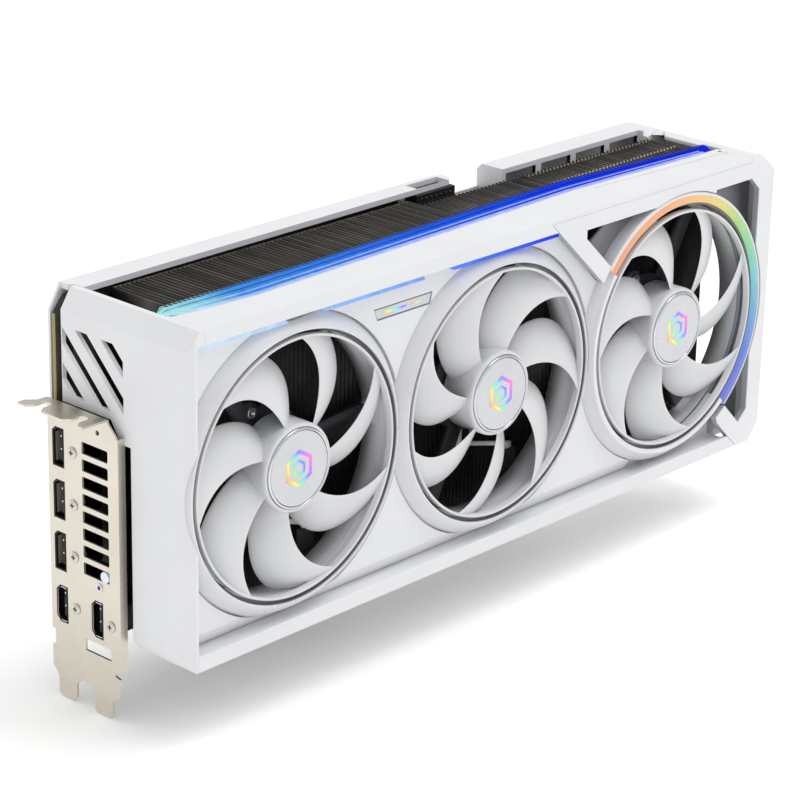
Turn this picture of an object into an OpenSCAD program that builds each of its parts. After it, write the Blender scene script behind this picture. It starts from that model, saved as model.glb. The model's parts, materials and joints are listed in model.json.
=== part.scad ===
// Desktop graphics card: a white air-cooled card with three fans on its front,
// one slimmer fan on its back, a tall finned heatsink between them and a
// two-slot mounting bracket on its end.
//
// The card's own frame, which every module uses inside card_frame():
//   X = 0 on the outer face of the bracket, +X towards the far end
//   Y = 0 on the front plane, where the fan rims are, +Y towards the backplate
//   Z = 0 on the lower front edge of the shroud, +Z up
// card_frame() moves that so the origin is the key notch of the edge connector,
// in the middle of the board's thickness and level with the contacts' lower edge.

/* [Card body] */
// From the bracket's outer face to the far end of the shroud
body_l = 346.2; // [345:0.1:348]
// Height of the shroud
body_h = 132; // [131:0.1:134]
// Depth from the front plane to the back of the backplate
body_d = 75.8; // [75.4:0.1:77]
// Thickness of the shroud's thin walls
wall = 2; // [1.6:0.1:2.2]
// Bevel along the shroud's vertical front edges
edge_bevel = 3; // [2.6:0.1:3.4]
// Height of the cut corner at the top of each end
end_bevel_h = 7.7; // [6:0.1:9]

/* [Fans] */
// Outer diameter of a front fan's rim
rim_d = 102.5; // [101:0.1:102.8]
// Diameter of a fan's hub
hub_d = 35; // [34.4:0.1:36]
// Number of blades on each fan
blade_count = 7; // [5:1:9]
// Distance between the front fans
fan_pitch = 112.6; // [112.2:0.1:113]
// Height of the fans' centres
fan_z = 66.7; // [66.3:0.1:67.1]
// Outer diameter of the rear fan's rim
rear_rim_d = 92; // [88:0.5:94]

/* [Heatsink] */
// Distance from one fin to the next
fin_pitch = 2.3; // [2:0.1:3]
// Thickness of a fin
fin_t = 0.4; // [0.3:0.05:0.6]
// Height of the fins' upper edges
fin_top = 129; // [128:0.1:129]
// Diameter of a heat pipe
pipe_d = 6; // [5:0.5:6]

/* [Board and bracket] */
// Thickness of the circuit board
pcb_t = 1.6; // [1.5:0.05:1.7]
// From the bracket's face to the middle of the key notch
key_x = 57.15; // [57.1:0.01:57.2]
// From the lower edge of the contacts up to the shroud's lower edge
edge_drop = 14.9; // [14.7:0.1:15.1]
// Thickness of the bracket's sheet metal
sheet_t = 0.86; // [0.8:0.02:0.96]
// Length of the bracket from the seat of its tab to its tongues' tips
bracket_h = 120.02; // [119.9:0.01:120.1]
// Distance between the centres of the two slots
slot_pitch = 20.32; // [20.3:0.01:20.34]
// Distance between display sockets
socket_pitch = 20.95; // [20.9:0.01:21]

/* [Hidden] */
$fn = 96;
eps = 0.01;

// Layers through the card's depth
backplate_t = 1.2;
backplate_y = body_d - backplate_t;
pcb_back = backplate_y - 1.1;
pcb_front = pcb_back - pcb_t;
pcb_mid_y = (pcb_front + pcb_back) / 2;
plate_y = pcb_front - 2.3;          // cold face of the vapour chamber
chamber_t = 5.2;
fin_front = 23;
fin_back = plate_y - chamber_t;     // where the fins meet the chamber
panel_y = 4;                        // front face of the recessed fan panel
panel_t = 2.5;

// Places along the card's length
face_x = 3.5;                       // outer face of the bracket-end cover
open_x0 = 11;                       // top opening, bracket end
open_x1 = 330;                      // top opening, far end
flange_x1 = 214;                    // end of the backplate's top flange
housing_x0 = 238.5;                 // start of the rear fan's housing
pcb_x1 = 232;
bevel_x = body_l - 9.2;             // where the far end's cut corners start
fan_x0 = 57.75;
rear_fan_x = (housing_x0 + body_l) / 2;

// Fans
rim_r = rim_d / 2;
hub_r = hub_d / 2;
rim_w = 1.1;
rim_depth = 3;
duct_r = rim_r + 0.65;
duct_t = 1.1;
lip_r = rim_r + 2.65;               // crest of a collar
flare_r = rim_r + 8.2;              // foot of a collar
ring_r0 = rim_r + 2;                // light ring
ring_r1 = rim_r + 7.6;
frame_y0 = 17.5;                    // motor base
frame_y1 = 21;
duct_y1 = 17;                       // back edge of a front fan's duct
shaft_r = 1.5;
bearing_bore_r = 1.53;
bearing_r = 3;
rear_y = body_d - 0.6;              // outer plane of the rear fan
rear_fin_y = 57;                    // back edge of the far fins

// Display sockets
dp_z = 71.7;                        // uppermost DisplayPort
dp_y = 67.6;
hdmi_z = dp_z - 3 * socket_pitch - 0.6;
hdmi_2_y = dp_y - slot_pitch;

// Bracket
tab_seat_z = 89.2;
tongue_z = tab_seat_z - bracket_h;
bracket_y1 = 73.4;
bracket_y0 = 35.2;
tongue_w = 10.19;
tongue_1_y = 64.95;

// ---------------------------------------------------------------- helpers

module card_frame() {
    translate([-key_x, -pcb_mid_y, edge_drop]) children();
}

// A flat outline in X and Z, given depth from y0 to y1
module xz(y0, y1) {
    translate([0, y1, 0]) rotate([90, 0, 0]) linear_extrude(y1 - y0) children();
}

// A flat outline in Y and Z, given length from x0 to x1
module yz(x0, x1) {
    translate([x0, 0, 0]) rotate([90, 0, 90]) linear_extrude(x1 - x0) children();
}

// A flat outline in X and Y, given height from z0 to z1
module xy(z0, z1) {
    translate([0, 0, z0]) linear_extrude(z1 - z0) children();
}

module box(low, high) {
    translate(low) cube(high - low);
}

// A round bar along Y between two depths
module bar_y(r, x, z, y0, y1) {
    translate([x, y0, z]) rotate([-90, 0, 0]) cylinder(r = r, h = y1 - y0);
}

// A round bar along X
module bar_x(r, y, z, x0, x1) {
    translate([x0, y, z]) rotate([0, 90, 0]) cylinder(r = r, h = x1 - x0);
}

// A profile of [radius, depth] points turned about a Y axis through x, z
module turned(x, z, profile) {
    translate([x, 0, z]) rotate([-90, 0, 0]) rotate_extrude() polygon(profile);
}

module ring_y(r0, r1, x, z, y0, y1) {
    turned(x, z, [[r0, y0], [r1, y0], [r1, y1], [r0, y1]]);
}

module rounded_rect(low, high, r) {
    hull_x = [low[0] + r, high[0] - r];
    hull_y = [low[1] + r, high[1] - r];
    union() {
        translate([low[0] + r, low[1]]) square([high[0] - low[0] - 2 * r, high[1] - low[1]]);
        translate([low[0], low[1] + r]) square([high[0] - low[0], high[1] - low[1] - 2 * r]);
        for (x = hull_x, y = hull_y) translate([x, y]) circle(r = r, $fn = 32);
    }
}

function fan_x(i) = fan_x0 + i * fan_pitch;
function polar(r, a) = [r * cos(a), r * sin(a)];

// ------------------------------------------------------------ the fans

// Blade shape: x runs from -1 at the hub to 1 at the rim. The front edge leads
// and both edges sweep forward as they go outward.
function front_edge_a(x) = 15 * x + 4 * x * x + 2 * pow(x, 3);
function back_edge_a(x) = -32 + 18 * x + 4 * x * x + 1.5 * pow(x, 3);
function front_edge_y(x) = 2.1 - 0.9 * x - 0.7 * x * x;
function back_edge_y(x) = 10 - 0.8 * x + 1.9 * x * x;
function camber(s) = 4 * s * (1 - s);
function blade_half_t(s) = 0.35 + 0.5 * camber(s);

// Middle surface of a blade at radial place x and chordwise place s
function blade_mid(r0, r1, x, s) =
    let (
        r = r0 + (r1 - r0) * (x + 1) / 2,
        a = front_edge_a(x) * (1 - s) + back_edge_a(x) * s - 2.2 * camber(s),
        y = front_edge_y(x) * (1 - s) + back_edge_y(x) * s - 0.7 * camber(s)
    ) [r * cos(a), y, r * sin(a)];

// Unit normal of that surface, from two short steps along it
function blade_normal(r0, r1, x, s) =
    let (
        h = 0.02,
        u = blade_mid(r0, r1, x + h, s) - blade_mid(r0, r1, x - h, s),
        v = blade_mid(r0, r1, x, s + h) - blade_mid(r0, r1, x, s - h),
        n = cross(u, v)
    ) n / norm(n);

blade_rows = 8;
blade_cols = 5;

function blade_skin(r0, r1, side) = [
    for (i = [0:blade_rows], j = [0:blade_cols])
        let (x = -1 + 2 * i / blade_rows, s = j / blade_cols)
        blade_mid(r0, r1, x, s) + side * blade_half_t(s) * blade_normal(r0, r1, x, s)
];

module blade(r0, r1) {
    w = blade_cols + 1;
    n = (blade_rows + 1) * w;
    last = blade_rows * w;
    faces = concat(
        [for (i = [0:blade_rows - 1], j = [0:blade_cols - 1])
            let (a = i * w + j) each [[a, a + 1, a + w + 1], [a, a + w + 1, a + w]]],
        [for (i = [0:blade_rows - 1], j = [0:blade_cols - 1])
            let (a = n + i * w + j) each [[a, a + w + 1, a + 1], [a, a + w, a + w + 1]]],
        [for (i = [0:blade_rows - 1])
            let (a = i * w) each [[a, a + w, n + a + w], [a, n + a + w, n + a]]],
        [for (i = [0:blade_rows - 1])
            let (a = i * w + w - 1) each [[a, n + a + w, a + w], [a, n + a, n + a + w]]],
        [for (j = [0:blade_cols - 1])
            each [[j, n + j + 1, j + 1], [j, n + j, n + j + 1]]],
        [for (j = [0:blade_cols - 1])
            let (a = last + j) each [[a, a + 1, n + a + 1], [a, n + a + 1, n + a]]]
    );
    polyhedron(concat(blade_skin(r0, r1, 1), blade_skin(r0, r1, -1)), faces);
}

// Hub, blades and rim of one fan about the Y axis, its rim's front at Y = 0
module rotor_body(outer_r, phase) {
    ring_y(outer_r - rim_w, outer_r, 0, 0, 0, rim_depth);
    turned(0, 0, [
        [0, 0.6], [hub_r - 1.6, 0.6], [hub_r - 1.6, 0.2], [hub_r - 0.3, 0.2], [hub_r, 0.5],
        [hub_r, 15], [hub_r - 1.5, 15], [hub_r - 1.5, 2.1], [0, 2.1]
    ]);
    for (k = [0:blade_count - 1])
        rotate([0, -phase - k * 360 / blade_count, 0]) blade(hub_r - 0.9, outer_r - 0.4);
}

module rotor_at(x, phase, flip) {
    color("#e9e7e4") translate([x, 0, fan_z]) mirror([flip, 0, 0]) rotor_body(rim_r, phase);
}

module fan_1_rotor() {
    card_frame() rotor_at(fan_x(0), 68, 0);
}

module fan_2_rotor() {
    card_frame() rotor_at(fan_x(1), 122, 1);
}

module fan_3_rotor() {
    card_frame() rotor_at(fan_x(2), 60, 0);
}

module rear_fan_rotor() {
    color("#e9e7e4") card_frame()
        translate([rear_fan_x, rear_y, fan_z]) rotate([0, 0, 180]) rotor_body(rear_rim_d / 2, 20);
}

// Steel cup with its magnet and shaft, open towards the motor base
module motor_cup_body() {
    cup_r = hub_r - 1.55;
    turned(0, 0, [
        [0, 2.1], [cup_r, 2.1], [cup_r, 14], [cup_r - 2.2, 14], [cup_r - 2.2, 5],
        [cup_r - 1, 5], [cup_r - 1, 3.2], [shaft_r, 3.2], [shaft_r, 17], [0, 17]
    ]);
}

module motor_cup_at(x) {
    color("#8d9094") translate([x, 0, fan_z]) motor_cup_body();
}

module fan_1_motor_cup() {
    card_frame() motor_cup_at(fan_x(0));
}

module fan_2_motor_cup() {
    card_frame() motor_cup_at(fan_x(1));
}

module fan_3_motor_cup() {
    card_frame() motor_cup_at(fan_x(2));
}

module rear_fan_motor_cup() {
    color("#8d9094") card_frame()
        translate([rear_fan_x, rear_y, fan_z]) rotate([0, 0, 180]) motor_cup_body();
}

// Glossy disc with a bevelled metal edge, glued on the hub
module hub_cap_at(x) {
    color("#dcdfe4") turned(x, fan_z, [
        [0, -0.6], [hub_r - 2.1, -0.6], [hub_r - 1.7, -0.3], [hub_r - 1.65, 0.6], [0, 0.6]
    ]);
}

module fan_1_hub_cap() {
    card_frame() hub_cap_at(fan_x(0));
}

module fan_2_hub_cap() {
    card_frame() hub_cap_at(fan_x(1));
}

module fan_3_hub_cap() {
    card_frame() hub_cap_at(fan_x(2));
}

// Duct, three struts, motor base and bearing tube, as one moulding
ear_at = [[-8, 19], [8, -19]];
ear_r = 4;

module fan_frame_body(inner_r, front, strut_a0) {
    ring_y(inner_r, inner_r + duct_t, 0, 0, front, duct_y1);
    difference() {
        union() {
            for (k = [0:2])
                rotate([0, -strut_a0 - 120 * k, 0])
                    box([hub_r + 0.4, duct_y1 - 1.5, -3], [inner_r + 0.5, frame_y0 + 1, 3]);
            turned(0, 0, [
                [0, frame_y0], [bearing_r, frame_y0], [bearing_r, 5.5], [bearing_r + 1, 5.5],
                [bearing_r + 1, frame_y0], [hub_r + 2, frame_y0], [hub_r + 2, frame_y1],
                [0, frame_y1]
            ]);
            for (p = ear_at) bar_y(ear_r, p[0], p[1], frame_y0, frame_y1);
        }
        // Screw holes, and room in the struts for the screws' heads
        for (p = ear_at) {
            bar_y(1.3, p[0], p[1], frame_y0 - 1, frame_y1 + 1);
            bar_y(2.9, p[0], p[1], duct_y1 - 3, frame_y0);
        }
    }
}

module fan_frame_at(x, strut_a0) {
    color("#9a9c9f") translate([x, 0, fan_z]) fan_frame_body(duct_r, panel_y + 3.6, strut_a0);
}

module fan_1_frame() {
    card_frame() fan_frame_at(fan_x(0), 5);
}

module fan_2_frame() {
    card_frame() fan_frame_at(fan_x(1), 5);
}

// The third frame also has a flat flange that closes the corners round it
module fan_3_frame() {
    card_frame() {
        fan_frame_at(fan_x(2), 60);
        color("#8b8d90") {
            xz(11, 12.4) difference() {
                polygon([[236, 80], [231, 109], [255, 124], [body_l - 6, 124],
                         [body_l - wall - 0.1, 120], [body_l - wall - 0.1, 8.8],
                         [body_l - wall - 6.4, 2.1], [262, 2.1]]);
                translate([fan_x(2), fan_z]) circle(r = duct_r + 0.4);
                translate([fan_x(2) - 60, fan_z - 80]) square([60, 80]);
            }
            // Wall under the light ring
            difference() {
                ring_y(ring_r0 + 0.5, ring_r1 - 1, fan_x(2), fan_z, web_y + 1.2, 11.4);
                box([fan_x(2) - 60, 0, fan_z - 60], [fan_x(2), 20, fan_z + 12]);
                box([fan_x(2) - 1, 0, fan_z - 60], [fan_x(2) + 22, 20, fan_z - 20]);
            }
        }
    }
}

rear_duct_r = rear_rim_d / 2 + 0.65;
rear_depth = rear_y - rear_fin_y - 0.4;

module rear_fan_frame() {
    color("#9a9c9f") card_frame()
        translate([rear_fan_x, rear_y, fan_z]) rotate([0, 0, 180]) intersection() {
            union() {
                ring_y(rear_duct_r, rear_duct_r + duct_t, 0, 0, 1.4, rear_depth);
                ring_y(rear_duct_r, rear_duct_r + 3.8, 0, 0, 1.4, 2.6);
                for (a = [45:90:315])
                    rotate([0, a, 0])
                        box([hub_r, rear_depth - 1.5, -3], [rear_duct_r + 0.5, rear_depth, 3]);
                turned(0, 0, [
                    [0, 17.2], [bearing_r, 17.2], [bearing_r, 5.5], [bearing_r + 1, 5.5],
                    [bearing_r + 1, rear_depth - 1.2], [hub_r + 2, rear_depth - 1.2],
                    [hub_r + 2, rear_depth], [0, rear_depth]
                ]);
            }
            bar_y(rear_duct_r + 3.8, 0, 0, 0, rear_depth);
        }
}

// Wound core of one motor: nine teeth on a ring
module stator_body() {
    xz(6, 13) difference() {
        union() {
            circle(r = 6.6);
            for (k = [0:8]) rotate(k * 40) {
                translate([6, -1.5]) square([6, 3]);
                translate([10.8, -2.9]) square([1.5, 5.8]);
            }
        }
        circle(r = bearing_r + 1.05);
    }
}

module fan_stators() {
    color("#8a5a34") card_frame() {
        for (i = [0:2]) translate([fan_x(i), 0, fan_z]) stator_body();
        translate([rear_fan_x, rear_y, fan_z]) rotate([0, 0, 180]) stator_body();
    }
}

module bearing_pair() {
    for (y = [5.8, 14.2]) ring_y(bearing_bore_r, bearing_r, 0, 0, y, y + 2.5);
}

module fan_bearings() {
    color("#b9bcc0") card_frame() {
        for (i = [0:2]) translate([fan_x(i), 0, fan_z]) bearing_pair();
        translate([rear_fan_x, rear_y, fan_z]) rotate([0, 0, 180]) bearing_pair();
    }
}

// Flat leads run down behind the struts to the headers at the board's lower edge
header_dx = [23.5, 29.5, 20];
lead_w = 3.2;

module fan_lead(x, header_x) {
    y = frame_y1 + 0.1;
    w = lead_w / 2;
    xz(y, y + 0.9) polygon([
        [x - w, fan_z - 8], [x + w, fan_z - 8], [x + w, fan_z - 27], [header_x + w, 31.5],
        [header_x + w, 28.9], [header_x - w, 28.9], [header_x - w, 30.5], [x - w, fan_z - 28]
    ]);
}

module fan_cables() {
    color("#e6e4df") card_frame()
        for (i = [0:2]) fan_lead(fan_x(i), fan_x(i) + header_dx[i] + 1.5);
}

module fan_headers() {
    color("#efece4") card_frame() for (i = [0:2]) {
        x = fan_x(i) + header_dx[i] - 3;
        difference() {
            box([x, frame_y1 + 0.05, 20], [x + 9, frame_y1 + 1.9, 28.9]);
            box([x + 1.4, frame_y1 + 0.6, 19], [x + 7.6, frame_y1 + 1.4, 25]);
        }
    }
}

// --------------------------------------------------------- white shroud

// Front silhouette of the whole card, with the cut corners at both ends
module silhouette(x0, x1) {
    intersection() {
        polygon([
            [face_x, edge_bevel + 0.84], [face_x + edge_bevel, 0], [body_l - 6.2, 0],
            [body_l, 8], [body_l, body_h - 8], [bevel_x, body_h],
            [face_x + 5, body_h], [face_x, body_h - end_bevel_h]
        ]);
        translate([x0, -1]) square([x1 - x0, body_h + 2]);
    }
}

// Diagonal vents above the bracket
vent_y = [35, 68.2];
vent_z = [91.8, 118.2];
vent_pitch = 14;
vent_w = 4.5;

end_wall = 4;
rear_edge_y = 68.7;

module left_end_cover() {
    inner = face_x + end_wall;
    color("#f4f4f5") card_frame() difference() {
        xz(0, rear_edge_y) silhouette(face_x, open_x0);
        // Bevel down the front edge
        xy(-1, body_h + 1)
            polygon([[face_x - 1, -1], [face_x + edge_bevel, -1], [face_x + edge_bevel, 0],
                     [face_x, edge_bevel], [face_x - 1, edge_bevel]]);
        // Inside of the shell
        xz(edge_bevel, rear_edge_y + 1)
            polygon([[inner, -1], [open_x0 + 1, -1], [open_x0 + 1, body_h - wall],
                     [inner + 3, body_h - wall], [inner, body_h - wall - 5]]);
        // Recess in front of the fan panel
        box([inner, -1, -1], [open_x0 + 1, edge_bevel + 1, body_h - 6]);
        // Room for the first fan's collar and duct
        bar_y(lip_r + 0.1, fan_x(0), fan_z, -1, panel_y + 3.6);
        bar_y(duct_r + duct_t + 0.15, fan_x(0), fan_z, 0, 22);
        // Opening behind the bracket
        yz(face_x - 1, inner + 1)
            polygon([[bracket_y0 - 3.8, -1], [rear_edge_y + 1, -1],
                     [rear_edge_y + 1, tab_seat_z - 0.6], [bracket_y0 + 6.8, tab_seat_z - 0.6],
                     [bracket_y0 + 1.3, 80.5], [bracket_y0 - 3.8, 80.5]]);
        yz(face_x - 1, inner + 1) end_vents();
        // Thinner wall round the vents
        box([face_x + 1.8, vent_y[0] - 1, vent_z[0] - 1],
            [inner + 1, vent_y[1], vent_z[1] + 1]);
    }
}

// The vents lie where Y less Z is constant
module end_vents() {
    intersection() {
        translate([vent_y[0], vent_z[0]])
            square([vent_y[1] - vent_y[0], vent_z[1] - vent_z[0]]);
        for (k = [0:3])
            translate([0, 32.5 + k * vent_pitch]) rotate(45)
                translate([-10, -vent_w / 2]) square([200, vent_w]);
    }
}

// Front and back edges of the lit strip along the top
bar_front = [[open_x0 + 1.5, 18.5], [50, 15.8], [235, 22.6], [open_x1 - 2, 19.4]];
bar_back = [[open_x1 + 1, 27.6], [242, 34.3], [90, 28.6], [open_x0 + 6, 28.4]];

module top_rail() {
    color("#f6f6f7") card_frame() {
        difference() {
            xy(body_h - wall, body_h)
                polygon(concat([[open_x0, 0], [open_x1, 0], [open_x1, 19.4]],
                               [for (i = [3:-1:0]) bar_front[i]], [[open_x0, 20.5]]));
            // Shallow groove beside the far half of the light bar
            xy(body_h - 0.6, body_h + 1)
                polygon([[246, 16.2], [open_x1 - 1.6, 11.2], [open_x1 - 1.2, 13.8], [246, 18.6]]);
        }
        // Brow over the light strips
        xz(0, wall) polygon([[open_x0, panel_top], [203.1, panel_top],
                             [198.9, body_h - wall + eps], [open_x0, body_h - wall + eps]]);
    }
}

module right_end_cover() {
    color("#f4f4f5") card_frame() difference() {
        xz(3, rear_fin_y) silhouette(open_x1, body_l);
        // Inside of the shell, open towards the heatsink
        xz(3 - 1, rear_fin_y + 1)
            polygon([[open_x1 - 1, -1], [body_l - wall - 6.2, -1], [body_l - wall - 6.2, wall],
                     [body_l - wall, 8.5], [body_l - wall, body_h - 8.6],
                     [bevel_x - 0.9, body_h - wall], [open_x1 - 1, body_h - wall]]);
        // Room for the lit strip's end
        box([open_x1 - 1, 18.4, body_h - wall - 1], [open_x1 + 2.2, 28.6, body_h + 1]);
        opening_facet();
        // Window that the far fins breathe through
        yz(body_l - wall - 1, body_l + 1)
            rounded_rect([21, 20], [52, body_h - 20], 4);
    }
}

module bottom_rail() {
    color("#f2f2f3") card_frame() {
        xz(0, wall)
            polygon([[face_x + end_wall, 0], [331, 0], [324.6, 6.2], [face_x + end_wall, 6.2]]);
        box([face_x + end_wall, wall - eps, 4.6], [322, 10.6, 6.2]);
        box([face_x + end_wall, 9.4, 6.2 - eps], [322, 10.6, 13.2]);
        box([face_x + end_wall, wall - eps, 0], [329.2, fin_front, 1.6]);
    }
}

// Outline of the recessed panel that carries the fans
panel_top = body_h - 6;
strut_a = [206, panel_top];
strut_b = [233.5, 97.4];

web_y = panel_y + panel_t;           // a thin web carries the collars

module panel_outline() {
    polygon([[face_x + end_wall, 13], [fan_x(2) - 10, 13], [fan_x(2) - 10, fan_z], [241, 95],
             strut_b, strut_a, [face_x + end_wall + 1, panel_top],
             [face_x + end_wall, panel_top - 1.3]]);
}

module front_panel() {
    web_back = web_y + 1.1;
    color("#f1f1f2") card_frame() difference() {
        union() {
            xz(panel_y, web_back) panel_outline();
            // Undercut along the lower edge
            yz(face_x + end_wall, 262)
                polygon([[panel_y, 13], [8.2, 6.4], [9.2, 6.4], [web_back, 13]]);
        }
        for (i = [0:2]) {
            bar_y(flare_r, fan_x(i), fan_z, 0, web_y);
            bar_y(duct_r, fan_x(i), fan_z, 0, 12);
        }
        // Pocket for the badge
        xz(panel_y - 1, panel_y + 0.9) badge_outline(0.15);
    }
}

module badge_outline(grow) {
    x0 = fan_x(0) + 43.5 - grow;
    x1 = x0 + 32 + 2 * grow;
    z1 = panel_top - 9.2 + grow;
    z0 = z1 - 4.6 - 2 * grow;
    polygon([[x0, z1], [x0 + 2, z0], [x1 - 1, z0], [x1, z1]]);
}

module badge_plate() {
    color("#cfd6e6") card_frame() xz(panel_y + 0.3, panel_y + 0.9) badge_outline(0);
}

// Outlines of the two windows beside the third fan
module corner_windows() {
    polygon([[220.5, 123.4], [266, 123.4], [283, 100], [237.5, 103.6], [220.5, 119.7]]);
    polygon([[300, 100], [305.8, 122.8], [330.3, 122.8], [336.2, 117.2], [337, 16],
             [331.6, 11], [320.6, 21.9], [300, 40]]);
}

frame_t = 3;

module corner_frame() {
    color("#f6f6f7") card_frame() difference() {
        xz(0, frame_t) intersection() {
            silhouette(150, body_l);
            polygon([[199, body_h - wall], strut_b, [fan_x(2) - 20, 80], [300, fan_z],
                     [316.3, 14.6], [331, 0], [body_l, 0], [body_l, body_h],
                     [open_x1, body_h], [open_x1, body_h - wall]]);
        }
        xz(-1, frame_t + 1) corner_windows();
        bar_y(ring_r1 + 0.3, fan_x(2), fan_z, -1, frame_t + 1);
    }
}

// Flared collar round a front fan, as [radius, depth]
collar_profile = [
    [duct_r, 0.9], [duct_r + 0.5, -0.1], [lip_r - 0.7, -0.3], [lip_r, 0.4],
    [flare_r - 0.4, panel_y + 1.4], [flare_r - 0.4, web_y], [duct_r, web_y]
];

module collar_at(x, low_x, high_x) {
    color("#f3f3f4") intersection() {
        turned(x, fan_z, collar_profile);
        box([low_x, -2, 10], [high_x, 20, panel_top - 2.3]);
    }
}

mid_12 = fan_x(0) + fan_pitch / 2;
mid_23 = fan_x(1) + fan_pitch / 2;

module fan_1_collar() {
    card_frame() difference() {
        collar_at(fan_x(0), 0, mid_12 - 0.1);
        // Clear of the end cover's edge
        difference() {
            box([0, -2, 0], [face_x + end_wall + 0.1, 20, body_h]);
            bar_y(lip_r, fan_x(0), fan_z, -3, 21);
        }
        box([0, -2, 0], [face_x + 0.3, 20, body_h]);
    }
}

module fan_2_collar() {
    card_frame() collar_at(fan_x(1), mid_12 + 0.1, mid_23 - 0.1);
}

// The third collar stops where the light ring takes over
ring_a0 = -49.7;
ring_a1 = 142;

module light_sector(a0, a1, r) {
    polygon(concat([[0, 0]], [for (k = [0:16]) polar(r, a0 + (a1 - a0) * k / 16)]));
}

module fan_3_collar() {
    color("#f3f3f4") card_frame() difference() {
        intersection() {
            turned(fan_x(2), fan_z, [
                [duct_r, 0.9], [duct_r + 0.4, 0], [rim_r + 4.3, 0], [rim_r + 5, 0.6],
                [flare_r - 0.4, panel_y + 1.4], [flare_r - 0.4, web_y], [duct_r, web_y]
            ]);
            box([mid_23 + 0.1, -2, 6.6], [body_l - 4, 20, panel_top - 2.3]);
        }
        translate([fan_x(2), 0, fan_z]) xz(-3, 20) light_sector(ring_a0, ring_a1, 90);
    }
}

module light_ring() {
    color("#e8d8a0") card_frame() translate([fan_x(2), 0, fan_z]) intersection() {
        turned(0, 0, [
            [ring_r0, 0.2], [ring_r0 + 0.5, -0.3], [ring_r1 - 0.6, -0.3],
            [ring_r1, 0.3], [ring_r1, web_y], [ring_r0, web_y]
        ]);
        xz(-3, 20) light_sector(ring_a0 + 0.3, ring_a1 - 0.3, 90);
    }
}

module light_bar() {
    color("#3c6cf0") card_frame()
        xy(fin_top, body_h - 0.6)
            polygon(concat([for (p = bar_front) p + [0, 0.15]], bar_back));
}

strip_x = [[open_x0 + 0.5, 53], [71, 126], [141, 204]];

module front_light_strips() {
    z0 = panel_top - 2;
    z1 = panel_top - 0.1;
    color("#9cc4f4") card_frame() for (s = strip_x)
        xz(1.2, panel_y - 0.1)
            polygon([[s[0], z1], [s[0] + 1.6, z0], [s[1] + 0.4, z0], [s[1] - 1.2, z1]]);
}

// ------------------------------------------------------------ rear shells

module backplate() {
    color("#f2f2f3") card_frame() difference() {
        union() {
            xz(backplate_y, body_d)
                polygon([[face_x, -4], [housing_x0 - 0.3, -4], [housing_x0 - 0.3, 122],
                         [flange_x1, 122], [flange_x1, body_h - 3], [flange_x1 - 3, body_h],
                         [9, body_h], [face_x, body_h - 9.5]]);
            // Flange folded over the top edge
            xy(body_h - wall - 0.2, body_h)
                polygon([[open_x0 + 0.2, 64.4], [flange_x1 - 3, 66.6], [flange_x1, 69.6],
                         [flange_x1, backplate_y + eps], [9, backplate_y + eps], [9, 70.6],
                         [open_x0 + 0.2, 69]]);
        }
        // Opening over the power socket
        box([plug_x + 1.4, plug_hole_y[0] + 0.1, body_h - wall - 1],
            [plug_x + plug_w - 2.8, backplate_y - 1.6, body_h + 1]);
        // Vent rows over the board
        for (i = [0:5])
            xz(backplate_y - 1, body_d + 1)
                translate([150 + 9 * i, 20]) rotate(-20) rounded_rect([0, 0], [3.4, 60], 1.6);
        // Screw holes
        for (p = backplate_screw_at) bar_y(1.6, p[0], p[1], backplate_y - 1, body_d + 1);
    }
}

backplate_screw_at = [
    [12, 6], [12, 116], [80, 8], [80, 118], [140, 6], [140, 118], [228, 10], [228, 112]
];

module countersunk(x, z, y_out, len, r_head, r) {
    translate([0, y_out, 0]) mirror([0, 1, 0])
        turned(x, z, [[0, 0.5], [0.9, 0.5], [0.9, 0], [r_head, 0], [r_head, 0.89], [r, 0.89],
                      [r, len], [0, len]]);
}

module backplate_screws() {
    color("#c9cbce") card_frame() for (p = backplate_screw_at)
        countersunk(p[0], p[1], body_d + 0.9, 5, 2.6, 1.4);
}

outlet_y = 61.5;                     // front of the wall above the rear fan
outlet_z = 118;
outlet_l = 19.2;
outlet_pitch = 22.8;

// Slope down into the corner of the top opening
module opening_facet() {
    translate([open_x1 + 4.7, outlet_y - 1.9, 0]) rotate([0, 0, -48]) yz(-3.2, 5.8)
        polygon([[0, body_h], [-12, body_h - 6], [-12, body_h + 2], [0, body_h + 2]]);
}

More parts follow.
